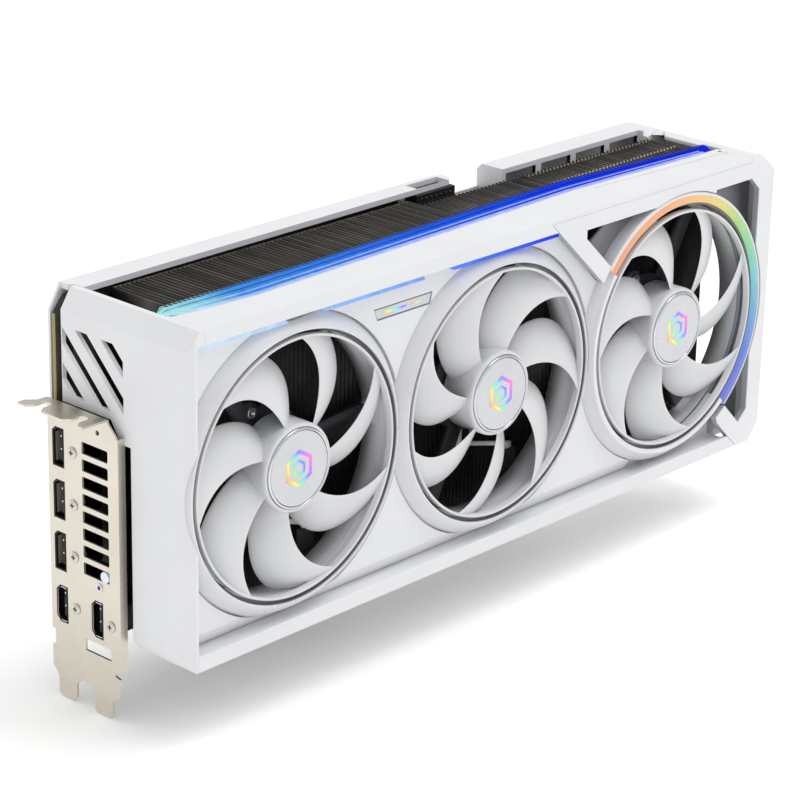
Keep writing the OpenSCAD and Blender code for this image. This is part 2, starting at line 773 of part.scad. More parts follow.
module rear_housing() {
    back_in = body_d - wall;
    outlet_back = outlet_y + wall;
    color("#f3f3f4") card_frame() difference() {
        xz(rear_fin_y, body_d) intersection() {
            silhouette(housing_x0, body_l);
            translate([0, 4]) square([400, body_h]);
        }
        // Inside of the shell, open towards the fins
        difference() {
            xz(rear_fin_y - 1, back_in)
                polygon([[housing_x0 + wall, 4 + wall], [body_l - wall - 3.2, 4 + wall],
                         [body_l - wall, 9], [body_l - wall, body_h - 8.9],
                         [bevel_x - 0.9, body_h - wall], [housing_x0 + wall, body_h - wall]]);
            box([housing_x0, rear_fin_y - 2, outlet_z], [open_x1 + 9, outlet_back, body_h]);
        }
        opening_facet();
        // Step behind the far fins, its far end slanted
        xy(outlet_z - 1, body_h + 1)
            polygon([[housing_x0 - 1, rear_fin_y - 1], [open_x1, rear_fin_y - 1],
                     [open_x1, rear_fin_y + 0.2], [open_x1 - 1.4, outlet_y],
                     [housing_x0 - 1, outlet_y]]);
        bar_y(rear_duct_r + duct_t + 0.2, rear_fan_x, fan_z, back_in - 1, body_d + 1);
        // Four outlets in the wall above the rear fan
        for (i = [0:3])
            box([housing_x0 + 2.2 + outlet_pitch * i, outlet_y - 1, outlet_z + 4],
                [housing_x0 + 2.2 + outlet_pitch * i + outlet_l, outlet_back + 1,
                 body_h - wall - 0.2]);
        // Slope along the back's upper edge
        yz(housing_x0 - 1, body_l + 1)
            polygon([[body_d - 2.5, body_h + eps], [body_d + 1, body_h + eps],
                     [body_d + 1, body_h - 3.5]]);
    }
}

// ------------------------------------------------------------ the board

// Two rows of contacts with the key between them
contact_a = 11.65;
contact_b = 71.65;
key_w = 1.9;
contact_x0 = key_x - key_w / 2 - contact_a;
contact_x1 = key_x + key_w / 2 + contact_b;
shoulder_z = 8.3 - edge_drop;
pcb_top = body_h - 4;

module pcb() {
    key_l = key_x - key_w / 2;
    key_r = key_x + key_w / 2;
    color("#3b3a2a") card_frame() difference() {
        xz(pcb_front, pcb_back) polygon([
            [face_x, shoulder_z], [contact_x0, shoulder_z], [contact_x0, 1 - edge_drop],
            [contact_x0 + 1, -edge_drop], [key_l - 0.5, -edge_drop], [key_l, 0.5 - edge_drop],
            [key_l, 7.5 - edge_drop], [key_r, 7.5 - edge_drop], [key_r, 0.5 - edge_drop],
            [key_r + 0.5, -edge_drop], [contact_x1 - 1, -edge_drop],
            [contact_x1, 1 - edge_drop], [contact_x1, shoulder_z + 2.5],
            [contact_x1 + 3.4, shoulder_z + 2.5], [contact_x1 + 3.4, 3.2 - edge_drop],
            [contact_x1 + 9, 3.2 - edge_drop], [contact_x1 + 10.5, 5 - edge_drop],
            [contact_x1 + 10.5, shoulder_z], [pcb_x1, shoulder_z], [pcb_x1, 120],
            [186, 120], [186, pcb_top], [9, pcb_top], [face_x, pcb_top - 6.5]
        ]);
        for (p = backplate_screw_at) bar_y(1.6, p[0], p[1], pcb_front - 1, pcb_back + 1);
        for (p = cooler_screw_at) bar_y(1.5, p[0], p[1], pcb_front - 1, pcb_back + 1);
    }
}

module edge_contacts() {
    z = -edge_drop + 0.7;
    color("#d8ab3c") card_frame()
        for (y = [pcb_front - 0.1, pcb_back]) {
            box([contact_x0 + 0.6, y, z], [contact_x0 + contact_a - 0.5, y + 0.1, z + 5]);
            box([key_x + key_w / 2 + 0.5, y, z], [contact_x1 - 0.6, y + 0.1, z + 5]);
        }
}

gpu_at = [135, 66];

module gpu_package() {
    color("#38483a") card_frame() {
        box([gpu_at[0] - 24, pcb_front - 1.4, gpu_at[1] - 24],
            [gpu_at[0] + 24, pcb_front, gpu_at[1] + 24]);
        box([gpu_at[0] - 12.5, plate_y, gpu_at[1] - 15],
            [gpu_at[0] + 12.5, pcb_front - 1.4 + eps, gpu_at[1] + 15]);
    }
}

// Memory round three sides of the graphics chip, as [x, z, turned]
memory_at = concat(
    [for (k = [0:3]) [gpu_at[0] - 38.5, gpu_at[1] - 26 + 17 * k, 0]],
    [for (k = [0:3]) [gpu_at[0] + 38.5, gpu_at[1] - 26 + 17 * k, 0]],
    [for (k = [0:3]) [gpu_at[0] - 25.5 + 17 * k, gpu_at[1] + 40, 1]]
);

module on_memory(y0, y1, inset) {
    for (m = memory_at) {
        w = (m[2] == 0 ? 12 : 14) / 2 - inset;
        h = (m[2] == 0 ? 14 : 12) / 2 - inset;
        box([m[0] - w, y0, m[1] - h], [m[0] + w, y1, m[1] + h]);
    }
}

module memory_chips() {
    color("#26272a") card_frame() on_memory(pcb_front - 1.2, pcb_front, 0);
}

module thermal_pads() {
    color("#9fb0c4") card_frame() on_memory(plate_y, pcb_front - 1.2, 0.5);
}

choke_x = [38, 222];

module chokes() {
    color("#4a4b4d") card_frame() for (x = choke_x, k = [0:8])
        box([x - 4, pcb_front - 6, 10 + 11.5 * k], [x + 4, pcb_front, 18 + 11.5 * k]);
}

module capacitors() {
    color("#8f8a80") card_frame() for (x = choke_x, k = [0:7])
        bar_y(3, x + (x < 100 ? 10 : -8.5), 20 + 11.5 * k, pcb_front - 5.8, pcb_front);
}

cooler_screw_at = [for (sx = [-1, 1], sz = [-1, 1]) gpu_at + [29 * sx, 29 * sz]];

// Screws that pull the board onto the chamber's standoffs
module cooler_screws() {
    color("#b7b9bc") card_frame() for (p = cooler_screw_at)
        turned(p[0], p[1], [[0, pcb_front - 1.6], [1.25, pcb_front - 1.6], [1.25, pcb_back],
                            [2.6, pcb_back], [2.6, pcb_back + 0.8], [0, pcb_back + 0.8]]);
}

module cooler_standoffs() {
    color("#a9abae") card_frame() for (p = cooler_screw_at)
        ring_y(1.3, 2.7, p[0], p[1], plate_y, pcb_front);
}

module riser_board() {
    y = hdmi_2_y + 3.6;
    color("#3b3a2a") card_frame() {
        box([2, y, hdmi_z - 11], [22, y + 1.6, hdmi_z + 11]);
        box([18.6, y + 1.6 - eps, hdmi_z - 10], [22, pcb_front, hdmi_z + 10]);
    }
}

// ---------------------------------------------------------- connectors

plug_x = 190;
plug_w = 23;
plug_y = 65;
plug_top = body_h - wall - 0.4;
plug_hole_y = [plug_y + 1.5, pcb_front - 0.7];

module power_connector() {
    color("#17181a") card_frame() difference() {
        box([plug_x, plug_y, plug_top - 14], [plug_x + plug_w, pcb_front, plug_top]);
        box([plug_x + 1.4, plug_hole_y[0], plug_top - 10],
            [plug_x + plug_w - 1.4, plug_hole_y[1], plug_top + 1]);
    }
}

module power_pins() {
    color("#c9cdd2") card_frame() for (k = [0:5], r = [0:1]) {
        x = plug_x + 3.6 + 3.2 * k;
        y = plug_hole_y[0] + 1 + 2.2 * r;
        box([x - 0.4, y - 0.4, plug_top - 10], [x + 0.4, y + 0.4, plug_top - 4.6]);
    }
}

switch_x = 222;
switch_z = 117;
switch_travel = 2;

module bios_switch_case() {
    color("#2b2c2e") card_frame() difference() {
        box([switch_x - 4.5, pcb_front - 4, switch_z - 5], [switch_x + 4.5, pcb_front, switch_z]);
        box([switch_x - 3, pcb_front - 3, switch_z - 2.5],
            [switch_x + 3, pcb_front - 1, switch_z + 1]);
    }
}

module bios_switch_slider() {
    color("#e8e8ea") card_frame() {
        box([switch_x - 2.9, pcb_front - 2.9, switch_z - 2.4],
            [switch_x + 2.9 - switch_travel, pcb_front - 1.1, switch_z - 0.4]);
        box([switch_x - 2.6, pcb_front - 2.6, switch_z - 0.4 - eps],
            [switch_x - 1, pcb_front - 1.4, switch_z + 1.4]);
    }
}

// Hollow metal socket with its mouth on the bracket's face and its corners on the
// board's side cut off, by notch at the top and low_notch at the bottom
module socket_shell(y, z, w, h, notch, low_notch) {
    y0 = y - w / 2 + 0.5;
    y1 = y + w / 2 - 0.5;
    z0 = z - h / 2 + 0.5;
    z1 = z + h / 2 - 0.5;
    difference() {
        box([0.02, y0 - 0.5, z0 - 0.5], [18, y1 + 0.5, z1 + 0.5]);
        yz(-1, 14) polygon([
            [y0, z0], [y1 - low_notch, z0], [y1, z0 + low_notch], [y1, z1 - notch],
            [y1 - notch, z1], [y0, z1]
        ]);
    }
}

dp_w = 6.4;
dp_h = 15.6;
hdmi_h = 15;

module displayport_shells() {
    color("#6f6c66") card_frame() for (k = [0:2])
        socket_shell(dp_y, dp_z - k * socket_pitch, dp_w, dp_h, 1.7, 0.3);
}

module hdmi_shells() {
    color("#6f6c66") card_frame() for (y = [dp_y - 0.4, hdmi_2_y])
        socket_shell(y, hdmi_z, dp_w, hdmi_h, 2, 2);
}

module socket_tongues() {
    color("#202123") card_frame() {
        for (k = [0:2])
            box([4.8, dp_y - 0.6, dp_z - k * socket_pitch - 6],
                [14, dp_y + 0.6, dp_z - k * socket_pitch + 6]);
        for (y = [dp_y - 0.4, hdmi_2_y])
            box([4.8, y - 0.6, hdmi_z - 5.6], [14, y + 0.6, hdmi_z + 5.6]);
    }
}

// ------------------------------------------------------------- heatsink

module vapor_chamber() {
    color("#9c9ea2") card_frame()
        box([72, fin_back, 14], [202, plate_y, 115]);
}

pipe_z = [for (k = [0:6]) 22 + 15 * k];
pipe_r = pipe_d / 2;
pipe_base_y = fin_back - pipe_r - 0.2;
pipe_mid_y = 45.5;
pipe_tilt = 45;
elbow_r = pipe_r * 1.03;

// Each pipe lies on the chamber, then steps forward into both fin stacks
module heat_pipe(z) {
    drop = pipe_base_y - pipe_mid_y;
    x0 = 66;
    x1 = 208;
    x2 = x1 + drop / tan(pipe_tilt);
    bar_x(pipe_r, pipe_base_y, z, x0, x1);
    translate([x1, pipe_base_y, z]) rotate([0, 90, -pipe_tilt])
        cylinder(r = pipe_r, h = drop / sin(pipe_tilt));
    bar_x(pipe_r, pipe_mid_y, z, x2, open_x1 - 8);
    translate([x1, pipe_base_y, z]) sphere(r = elbow_r);
    translate([x2, pipe_mid_y, z]) sphere(r = elbow_r);
}

module heat_pipes() {
    color("#a08872") card_frame() for (z = pipe_z) heat_pipe(z);
}

fin_x0 = 24.6;
stack_split = 236;
fin_low = 9;

// Fins standing on the chamber, joined by their folded feet
module main_fin_stack() {
    count = floor((stack_split - fin_x0 - 2) / fin_pitch);
    comb = concat(
        [[fin_x0, fin_back], [fin_x0, fin_front]],
        [for (k = [0:count - 1]) let (x = fin_x0 + k * fin_pitch)
            each [[x + fin_t, fin_front], [x + fin_t, fin_back - 0.5],
                  [x + fin_pitch, fin_back - 0.5], [x + fin_pitch, fin_front]]],
        [[fin_x0 + count * fin_pitch + fin_t, fin_front],
         [fin_x0 + count * fin_pitch + fin_t, fin_back]]
    );
    color("#3a3530") card_frame() difference() {
        xy(fin_low, fin_top) polygon(comb);
        // Step beside the power socket
        box([183.4, 57.2, 108], [stack_split + 3, 80, fin_top + 1]);
    }
}

// Fins that air passes straight through, joined by their folded lower ends
module far_fin_stack() {
    count = floor((open_x1 - 1 - stack_split) / fin_pitch) - 1;
    x_start = open_x1 - 1 - count * fin_pitch - fin_t;
    comb = concat(
        [[x_start, fin_low], [x_start, fin_top]],
        [for (k = [0:count - 1]) let (x = x_start + k * fin_pitch)
            each [[x + fin_t, fin_top], [x + fin_t, fin_low + 0.5],
                  [x + fin_pitch, fin_low + 0.5], [x + fin_pitch, fin_top]]],
        [[x_start + count * fin_pitch + fin_t, fin_top],
         [x_start + count * fin_pitch + fin_t, fin_low]]
    );
    color("#3a3530") card_frame() xz(fin_front, rear_fin_y - 0.4) polygon(comb);
}

// Screws through the motor bases' ears
module fan_screws() {
    y = frame_y0 - 0.02;
    color("#8c8e91") card_frame() for (i = [0:2], p = ear_at)
        turned(fan_x(i) + p[0], fan_z + p[1], [
            [0, y - 0.5], [0.8, y - 0.5], [0.8, y - 1.3], [2.5, y - 1.3], [2.5, y], [1.2, y],
            [1.2, fin_front - 0.1], [0, fin_front - 0.1]
        ]);
}

// -------------------------------------------------------------- bracket

// Outline of the plate with its two tongues, going round from the top left
module bracket_outline() {
    t = tongue_w / 2;
    t2 = tongue_1_y - slot_pitch;
    difference() {
        polygon([
            [bracket_y1, tab_seat_z + 0.5], [bracket_y1, -3.3], [bracket_y1 - 1.9, -3.6],
            [bracket_y1 - 1.9, -9.8], [bracket_y1, -10.4], [bracket_y1, -18.9],
            [tongue_1_y + t, -22.7], [tongue_1_y + t, tongue_z + 1.6],
            [tongue_1_y + t - 1.6, tongue_z], [tongue_1_y - t + 2.2, tongue_z],
            [tongue_1_y - t, tongue_z + 2.8], [tongue_1_y - t, -22.9],
            [tongue_1_y - t - 2.6, -20.3], [t2 + t + 2.6, -20.3], [t2 + t, -23.2],
            [t2 + t, tongue_z + 1.6], [t2 + t - 1.6, tongue_z],
            [t2 - t + 2.2, tongue_z], [t2 - t, tongue_z + 2.2],
            [t2 - t, -23.4], [bracket_y0, -20.1], [bracket_y0, -12.6],
            [bracket_y0 + 2.6, -11.9], [bracket_y0 + 2.6, -10.8], [bracket_y0, -10.2],
            [bracket_y0, 84], [bracket_y0 + 4.4, tab_seat_z - 1], [40.3, tab_seat_z + 0.5]
        ]);
        for (k = [0:2]) socket_hole(dp_y, dp_z - k * socket_pitch, dp_h);
        socket_hole(dp_y - 0.4, hdmi_z, hdmi_h);
        socket_hole(hdmi_2_y, hdmi_z, hdmi_h);
        for (k = [0:7])
            translate([40.1, 24.7 + 6.88 * k]) rounded_rect([0, 0], [14.4, 4.75], 0.7);
        translate([39.8, -6.5]) square([14.4, 4.7]);
        for (p = bracket_screw_at) translate(p) circle(r = 1.3, $fn = 32);
        translate([45.5, 83.4]) circle(r = 1, $fn = 32);
    }
}

module socket_hole(y, z, h) {
    translate([y - dp_w / 2 - 0.1, z - h / 2 - 0.1]) square([dp_w + 0.2, h + 0.2]);
}

bracket_screw_at = concat(
    [for (k = [0:2]) [59.6, dp_z - k * socket_pitch]],
    [[59.2, hdmi_z + 0.4], [hdmi_2_y - 7.6, hdmi_z - 0.4]]
);

tab_depth = 11.43;
screw_w = 4.42;
notch_mid = [67.65, 67.65 - slot_pitch];

module bracket_tab() {
    difference() {
        polygon([[0, 40.3], [0, bracket_y1], [-4.5, bracket_y1], [-8, 76.5],
                 [-tab_depth, 76.5], [-tab_depth, 40.3]]);
        for (y = notch_mid) translate([0, y]) {
            translate([-tab_depth - 1, -screw_w / 2]) square([tab_depth - 4.6, screw_w]);
            translate([-5.6, 0]) circle(r = screw_w / 2, $fn = 32);
            polygon([[-tab_depth - 1, -5.2], [-tab_depth - 1, 5.2], [-8.6, 2.2], [-8.6, -2.2]]);
        }
    }
}

module io_bracket() {
    color("#c9c2b4") card_frame() {
        yz(0, sheet_t) bracket_outline();
        xy(tab_seat_z, tab_seat_z + sheet_t) bracket_tab();
        // Edge folded back along the front side
        box([0, bracket_y0 - 0.8, -9.8], [3.5, bracket_y0, 83.6]);
    }
}

// Pan-head screws through the bracket into the sockets' brackets
module bracket_screws() {
    color("#d2cfc8") card_frame() for (p = bracket_screw_at)
        translate([0, p[0], p[1]]) rotate([0, 90, 0]) rotate_extrude()
            polygon([[0, -0.4], [0.6, -0.4], [0.6, -0.8], [2, -0.8], [2.3, -0.4], [2.3, -0.02],
                     [1.2, -0.02], [1.2, 5], [0, 5]]);
}

// --------------------------------------------------------------- drawing

io_bracket();
bracket_screws();
displayport_shells();
hdmi_shells();
socket_tongues();
pcb();
edge_contacts();
gpu_package();
memory_chips();
thermal_pads();
chokes();
capacitors();
riser_board();
power_connector();
power_pins();
bios_switch_case();
bios_switch_slider();
vapor_chamber();
heat_pipes();
main_fin_stack();
far_fin_stack();
left_end_cover();
top_rail();
right_end_cover();
bottom_rail();
front_panel();
corner_frame();
badge_plate();
light_ring();
light_bar();
front_light_strips();
fan_1_collar();
fan_2_collar();
fan_3_collar();
fan_1_frame();
fan_2_frame();
fan_3_frame();
rear_fan_frame();
fan_stators();
fan_bearings();
fan_cables();
fan_headers();
fan_1_rotor();
fan_2_rotor();
fan_3_rotor();
rear_fan_rotor();
fan_1_motor_cup();
fan_2_motor_cup();
fan_3_motor_cup();
rear_fan_motor_cup();
fan_1_hub_cap();
fan_2_hub_cap();
fan_3_hub_cap();
backplate();
rear_housing();
backplate_screws();
cooler_screws();
cooler_standoffs();
fan_screws();
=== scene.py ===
"""Looks of the graphics card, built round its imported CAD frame.

Sizes are in millimetres in the card's own frame (X along the card from the bracket's face, Y from
the front fans to the backplate, Z up from the shroud's lower front edge) until at() turns them into
metres in the row frame.
"""
import json
import math

import bmesh
import bpy
from mathutils import Matrix, Vector


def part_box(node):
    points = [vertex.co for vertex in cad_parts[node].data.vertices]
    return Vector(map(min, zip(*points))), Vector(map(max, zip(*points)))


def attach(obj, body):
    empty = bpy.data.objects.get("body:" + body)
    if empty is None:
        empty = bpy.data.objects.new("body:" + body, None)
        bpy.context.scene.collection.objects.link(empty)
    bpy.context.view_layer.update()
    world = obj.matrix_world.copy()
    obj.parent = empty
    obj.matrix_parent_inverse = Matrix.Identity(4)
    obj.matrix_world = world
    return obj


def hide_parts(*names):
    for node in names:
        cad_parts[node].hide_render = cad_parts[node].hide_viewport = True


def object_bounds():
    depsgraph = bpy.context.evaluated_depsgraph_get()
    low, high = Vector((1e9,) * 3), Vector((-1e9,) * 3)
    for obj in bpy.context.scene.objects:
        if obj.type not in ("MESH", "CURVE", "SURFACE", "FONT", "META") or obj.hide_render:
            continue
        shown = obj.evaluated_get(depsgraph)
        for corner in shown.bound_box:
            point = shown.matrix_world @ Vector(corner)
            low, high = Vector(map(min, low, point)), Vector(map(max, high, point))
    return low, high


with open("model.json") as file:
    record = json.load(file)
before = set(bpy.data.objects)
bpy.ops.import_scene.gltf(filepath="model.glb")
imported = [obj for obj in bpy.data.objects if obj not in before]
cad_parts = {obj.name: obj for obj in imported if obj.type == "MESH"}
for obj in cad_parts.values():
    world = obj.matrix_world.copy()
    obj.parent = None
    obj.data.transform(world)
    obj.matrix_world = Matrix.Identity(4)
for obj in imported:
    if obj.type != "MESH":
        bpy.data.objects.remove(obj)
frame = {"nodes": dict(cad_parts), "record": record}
cad_low, cad_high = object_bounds()
NODES = frame["nodes"]
MM = 0.001

# ---------------------------------------------------------------- the card's own frame
FACE_X = 3.5                                  # outer face of the bracket-end cover
cover_low, cover_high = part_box("left_end_cover")
ORIGIN = cover_low - Vector((FACE_X * MM, 0, 0))
TOP_Z = (cover_high.z - cover_low.z) / MM     # height of the shroud


def at(x, y, z):
    """A point of the card's frame, in metres in the row frame."""
    return ORIGIN + Vector((x, y, z)) * MM


def middle(node):
    """Middle of a node's box, in the card's frame."""
    low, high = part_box(node)
    return ((low + high) / 2 - ORIGIN) / MM


FAN_X = [middle(f"fan_{i}_rotor").x for i in (1, 2, 3)]
FAN_Z = middle("fan_1_rotor").z
REAR_FAN_X = middle("rear_fan_rotor").x
rim_low, rim_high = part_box("fan_1_rotor")
RIM_R = (rim_high.x - rim_low.x) / MM / 2
FAN_PITCH = FAN_X[1] - FAN_X[0]
FIN_TOP = (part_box("main_fin_stack")[1].z - ORIGIN.z) / MM


# ---------------------------------------------------------------- materials
def srgb(code):
    """Linear colour of a #rrggbb code."""
    def lin(c):
        return c / 12.92 if c <= 0.04045 else ((c + 0.055) / 1.055) ** 2.4
    return tuple(lin(int(code[i:i + 2], 16) / 255) for i in (1, 3, 5)) + (1.0,)


class Paint:
    """A node material built a step at a time round one Principled shader."""

    def __init__(self, name, color, rough=0.5, metal=0.0, **sockets):
        self.mat = bpy.data.materials.new(name)
        self.mat.use_nodes = True
        self.tree = self.mat.node_tree
        self.shader = self.tree.nodes["Principled BSDF"]
        self.coords = self.node("ShaderNodeTexCoord").outputs["Object"]
        self.set("Base Color", srgb(color) if isinstance(color, str) else color)
        self.set("Roughness", rough)
        self.set("Metallic", metal)
        for key, value in sockets.items():
            self.set(key.replace("_", " "), value)
        self.height = None

    def node(self, kind, **values):
        n = self.tree.nodes.new(kind)
        for key, value in values.items():
            setattr(n, key, value)
        return n

    def set(self, socket, value):
        self.shader.inputs[socket].default_value = value

    def link(self, a, b):
        self.tree.links.new(a, b)

    def noise(self, scale, detail=3.0, stretch=(1, 1, 1)):
        """Noise value at a scale per metre, stretched along some axes."""
        mapping = self.node("ShaderNodeMapping")
        mapping.inputs["Scale"].default_value = stretch
        self.link(self.coords, mapping.inputs["Vector"])
        tex = self.node("ShaderNodeTexNoise")
        tex.inputs["Scale"].default_value = scale
        tex.inputs["Detail"].default_value = detail
        tex.inputs["Roughness"].default_value = 0.5
        self.link(mapping.outputs["Vector"], tex.inputs["Vector"])
        return tex.outputs["Fac"]

    def ramp(self, value, stops):
        """Colour ramp of (place, colour) stops."""
        n = self.node("ShaderNodeValToRGB")
        elements = n.color_ramp.elements
        while len(elements) < len(stops):
            elements.new(0.5)
        for e, (place, color) in zip(elements, stops):
            e.position = place
            e.color = srgb(color) if isinstance(color, str) else color
        self.link(value, n.inputs["Fac"])
        return n.outputs["Color"]

    def span(self, value, low, high, to_low, to_high):
        """Value carried over from one range to another."""
        n = self.node("ShaderNodeMapRange")
        limits = {"From Min": low, "From Max": high, "To Min": to_low, "To Max": to_high}
        for key, v in limits.items():
            n.inputs[key].default_value = v
        self.link(value, n.inputs["Value"])
        return n.outputs["Result"]

    def mottle(self, low, high, scale, detail=4.0, stretch=(1, 1, 1)):
        """Base colour that wanders between two shades."""
        out = self.ramp(self.noise(scale, detail, stretch), ((0.3, low), (0.7, high)))
        self.link(out, self.shader.inputs["Base Color"])
        return self

    def worn(self, low, high, scale, detail=3.0, stretch=(1, 1, 1)):
        """Roughness that wanders between two values."""
        out = self.span(self.noise(scale, detail, stretch), 0.3, 0.7, low, high)
        self.link(out, self.shader.inputs["Roughness"])
        return self

    def grain(self, scale, strength, depth=0.02, detail=2.0, stretch=(1, 1, 1)):
        """Fine relief; depth is in millimetres."""
        bump = self.node("ShaderNodeBump")
        bump.inputs["Strength"].default_value = strength
        bump.inputs["Distance"].default_value = depth * MM
        self.link(self.noise(scale, detail, stretch), bump.inputs["Height"])
        if self.height is not None:
            self.link(self.height, bump.inputs["Normal"])
        self.height = bump.outputs["Normal"]
        self.link(self.height, self.shader.inputs["Normal"])
        return self

    def place(self, axis):
        """Coordinate along one axis of the row frame, in metres."""
        return self.node_out("ShaderNodeSeparateXYZ", self.coords, axis)

    def node_out(self, kind, source, output):
        n = self.node(kind)
        self.link(source, n.inputs[0])
        return n.outputs[output]

    def math(self, op, a, b=0.0):
        n = self.node("ShaderNodeMath", operation=op)
        for socket, value in zip(n.inputs, (a, b)):
            if isinstance(value, (int, float)):
                socket.default_value = value
            else:
                self.link(value, socket)
        return n.outputs[0]

    def within(self, low, high):
        """1 inside a box of the card's frame and 0 outside; None leaves a side open."""
        mask = None
        for axis in range(3):
            for limit, op in ((low[axis], "GREATER_THAN"), (high[axis], "LESS_THAN")):
                if limit is None:
                    continue
                edge = ORIGIN[axis] + limit * MM
                test = self.math(op, self.place(axis), edge)
                mask = test if mask is None else self.math("MULTIPLY", mask, test)
        return mask

    def over(self, socket, mask, color):
        """Lays another colour over what feeds a socket, where the mask is 1."""
        mix = self.node("ShaderNodeMix", data_type="RGBA")
        target = self.shader.inputs[socket]
        if target.links:
            self.link(target.links[0].from_socket, mix.inputs[6])
        else:
            mix.inputs[6].default_value = target.default_value
        mix.inputs[7].default_value = srgb(color)
        self.link(mask, mix.inputs[0])
        self.link(mix.outputs[2], target)
        return self

    def glow(self, color, strength):
        """Lit plastic: most of the light comes from inside."""
        self.link(color, self.shader.inputs["Emission Color"])
        self.set("Emission Strength", strength)
        return self


SHELL_LOW, SHELL_HIGH = "#e2e3e6", "#e8e9eb"
UNLIT_SHADE, SHADED = "#101012", "#a9abae"           # painted shade for inner faces, unlit and half lit
FAR_BEVEL_X = 341.0                           # where the far end's upper bevel starts
FAR_INNER = (344.0, 121.5)                    # X and Z that the painted shade on the inner faces reaches below it
VENT_POCKET = (5.4, 34, 90.7), (7.5, 68.3, 119.3)   # room behind the near cover's vents, painted dark as shade


def shell_white(name="shell_white", low=SHELL_LOW, high=SHELL_HIGH):
    return (Paint(name, low, 0.4, Coat_Weight=0.12, Coat_Roughness=0.3)
            .mottle(low, high, 28).worn(0.34, 0.46, 60).grain(2600, 0.25, 0.02))


def shell_with_painted_shade_inside(name, low, high, shade=UNLIT_SHADE):
    """White shell with painted shade on its inner faces inside the given box, where hardly any
    light reaches.
    """
    paint = shell_white(name)
    return paint.over("Base Color", paint.within(low, high), shade)


def far_shell(name, low, high, shade):
    """White shell with painted shade on its inner faces, which leaves the bevel at the card's far
    end white.
    """
    paint = shell_with_painted_shade_inside(name, low, (FAR_BEVEL_X, *high), shade)
    inner = paint.within(low, (FAR_INNER[0], high[0], FAR_INNER[1]))
    return paint.over("Base Color", inner, shade)


def cover_white():
    """Near end's shell, with painted shade on its inner faces and in the pocket behind its vents.
    """
    paint = shell_with_painted_shade_inside("cover_white", (7.45, 3.05, None), (None, None, 129.9))
    return paint.over("Base Color", paint.within(*VENT_POCKET), UNLIT_SHADE)


STRUT_Y = (12.6, 56.9)                        # depths between which motor base and struts lie


def frame_grey():
    """Grey fan frame, darker on its motor base and struts."""
    paint = (Paint("frame_grey", "#c0c2c5", 0.5).mottle("#c0c2c5", "#caccce", 45)
             .worn(0.45, 0.6, 90).grain(2400, 0.3, 0.02))
    core = paint.within((None, STRUT_Y[0], None), (None, STRUT_Y[1], None))
    inside = None
    for x in FAN_X:
        dx = paint.math("SUBTRACT", paint.place(0), ORIGIN.x + x * MM)
        dz = paint.math("SUBTRACT", paint.place(2), ORIGIN.z + FAN_Z * MM)
        square = paint.math("ADD", paint.math("MULTIPLY", dx, dx), paint.math("MULTIPLY", dz, dz))
        near = paint.math("LESS_THAN", square, ((RIM_R + 0.2) * MM) ** 2)
        inside = near if inside is None else paint.math("MAXIMUM", inside, near)
    return paint.over("Base Color", paint.math("MULTIPLY", core, inside), "#47484b")


def rotor_white():
    return (Paint("rotor_white", "#dadbdd", 0.34).mottle("#d7d8da", "#dedfe1", 40)
            .worn(0.3, 0.42, 80).grain(2800, 0.2, 0.02))


def bracket_metal():
    return (Paint("bracket_metal", "#d8d1c3", 0.34, 0.9)
            .mottle("#d2cbbc", "#dfd9cd", 30).worn(0.3, 0.42, 40, stretch=(1, 1, 0.15))
            .grain(900, 0.25, 0.01, stretch=(1, 1, 0.06)))


def steel(name, color, low=0.25, high=0.4):
    return Paint(name, color, 0.3, 1.0).worn(low, high, 400).grain(1500, 0.2, 0.01)


# fins beyond this X carry the painted highlights on their tab rows
FAR_FINS_X = 246
FIN_TABS = ((41.2, 0.7), (55.0, 0.9))         # rows of interlocking tabs with painted highlights: place and width in Y


def fin_metal():
    """Dark fins with painted highlights along their upper edges and on their rows of tabs."""
    paint = (Paint("fin_metal", "#211e1c", 0.4, 0.35).mottle("#1b1918", "#2b2725", 60)
             .worn(0.32, 0.5, 150).grain(1800, 0.2, 0.01))
    # painted highlight: paler streaks along the fins' upper edges
    edge = paint.math("GREATER_THAN", paint.place(2), ORIGIN.z + (FIN_TOP - 0.3) * MM)
    highlight_streak = paint.span(paint.noise(70, 2.0, (6.0, 0.2, 1)), 0.4, 0.62, 0.0, 0.55)
    paint.over("Base Color", paint.math("MULTIPLY", edge, highlight_streak), "#6b6153")
    # painted highlights on the rows of tabs
    for y, width in FIN_TABS:
        row = paint.within((FAR_FINS_X, y - width / 2, FIN_TOP - 0.8), (None, y + width / 2, None))
        paint.over("Base Color", row, "#b9a988")
    return paint


def black_plastic(name="black_plastic", color="#17181a"):
    return Paint(name, color, 0.5).worn(0.42, 0.6, 200).grain(2500, 0.3, 0.02)


def plain(name, low, high, rough, metal=0.0, scale=200):
    return (Paint(name, low, rough, metal).mottle(low, high, scale)
            .worn(rough * 0.85, min(1, rough * 1.2), scale).grain(2200, 0.2, 0.015))


def board():
    """Dark board with its copper and glass layers showing along the bracket end."""
    paint = plain("board", "#20221a", "#2c2e22", 0.45)
    return paint.over("Base Color", paint.within((None, None, 0), (3.62, None, None)), "#a39a5e")


def contacts():
    """Plated contacts side by side at 1 mm, with bare board between them."""
    paint = plain("contacts", "#d9a63a", "#e6ba58", 0.28, 1.0)
    phase = paint.math("FRACT", paint.math("DIVIDE", paint.place(0), MM))
    return paint.over("Base Color", paint.math("LESS_THAN", phase, 0.3), "#20261c")


def socket_metal():
    """Bare rim at the mouth, with painted shade further in."""
    paint = steel("shell_metal", "#3a3833", 0.35, 0.5)
    # near-black painted shade deeper than 0.35 mm into the sockets
    return paint.over("Base Color", paint.within((0.35, None, None), (None, None, None)), "#0c0c0d")


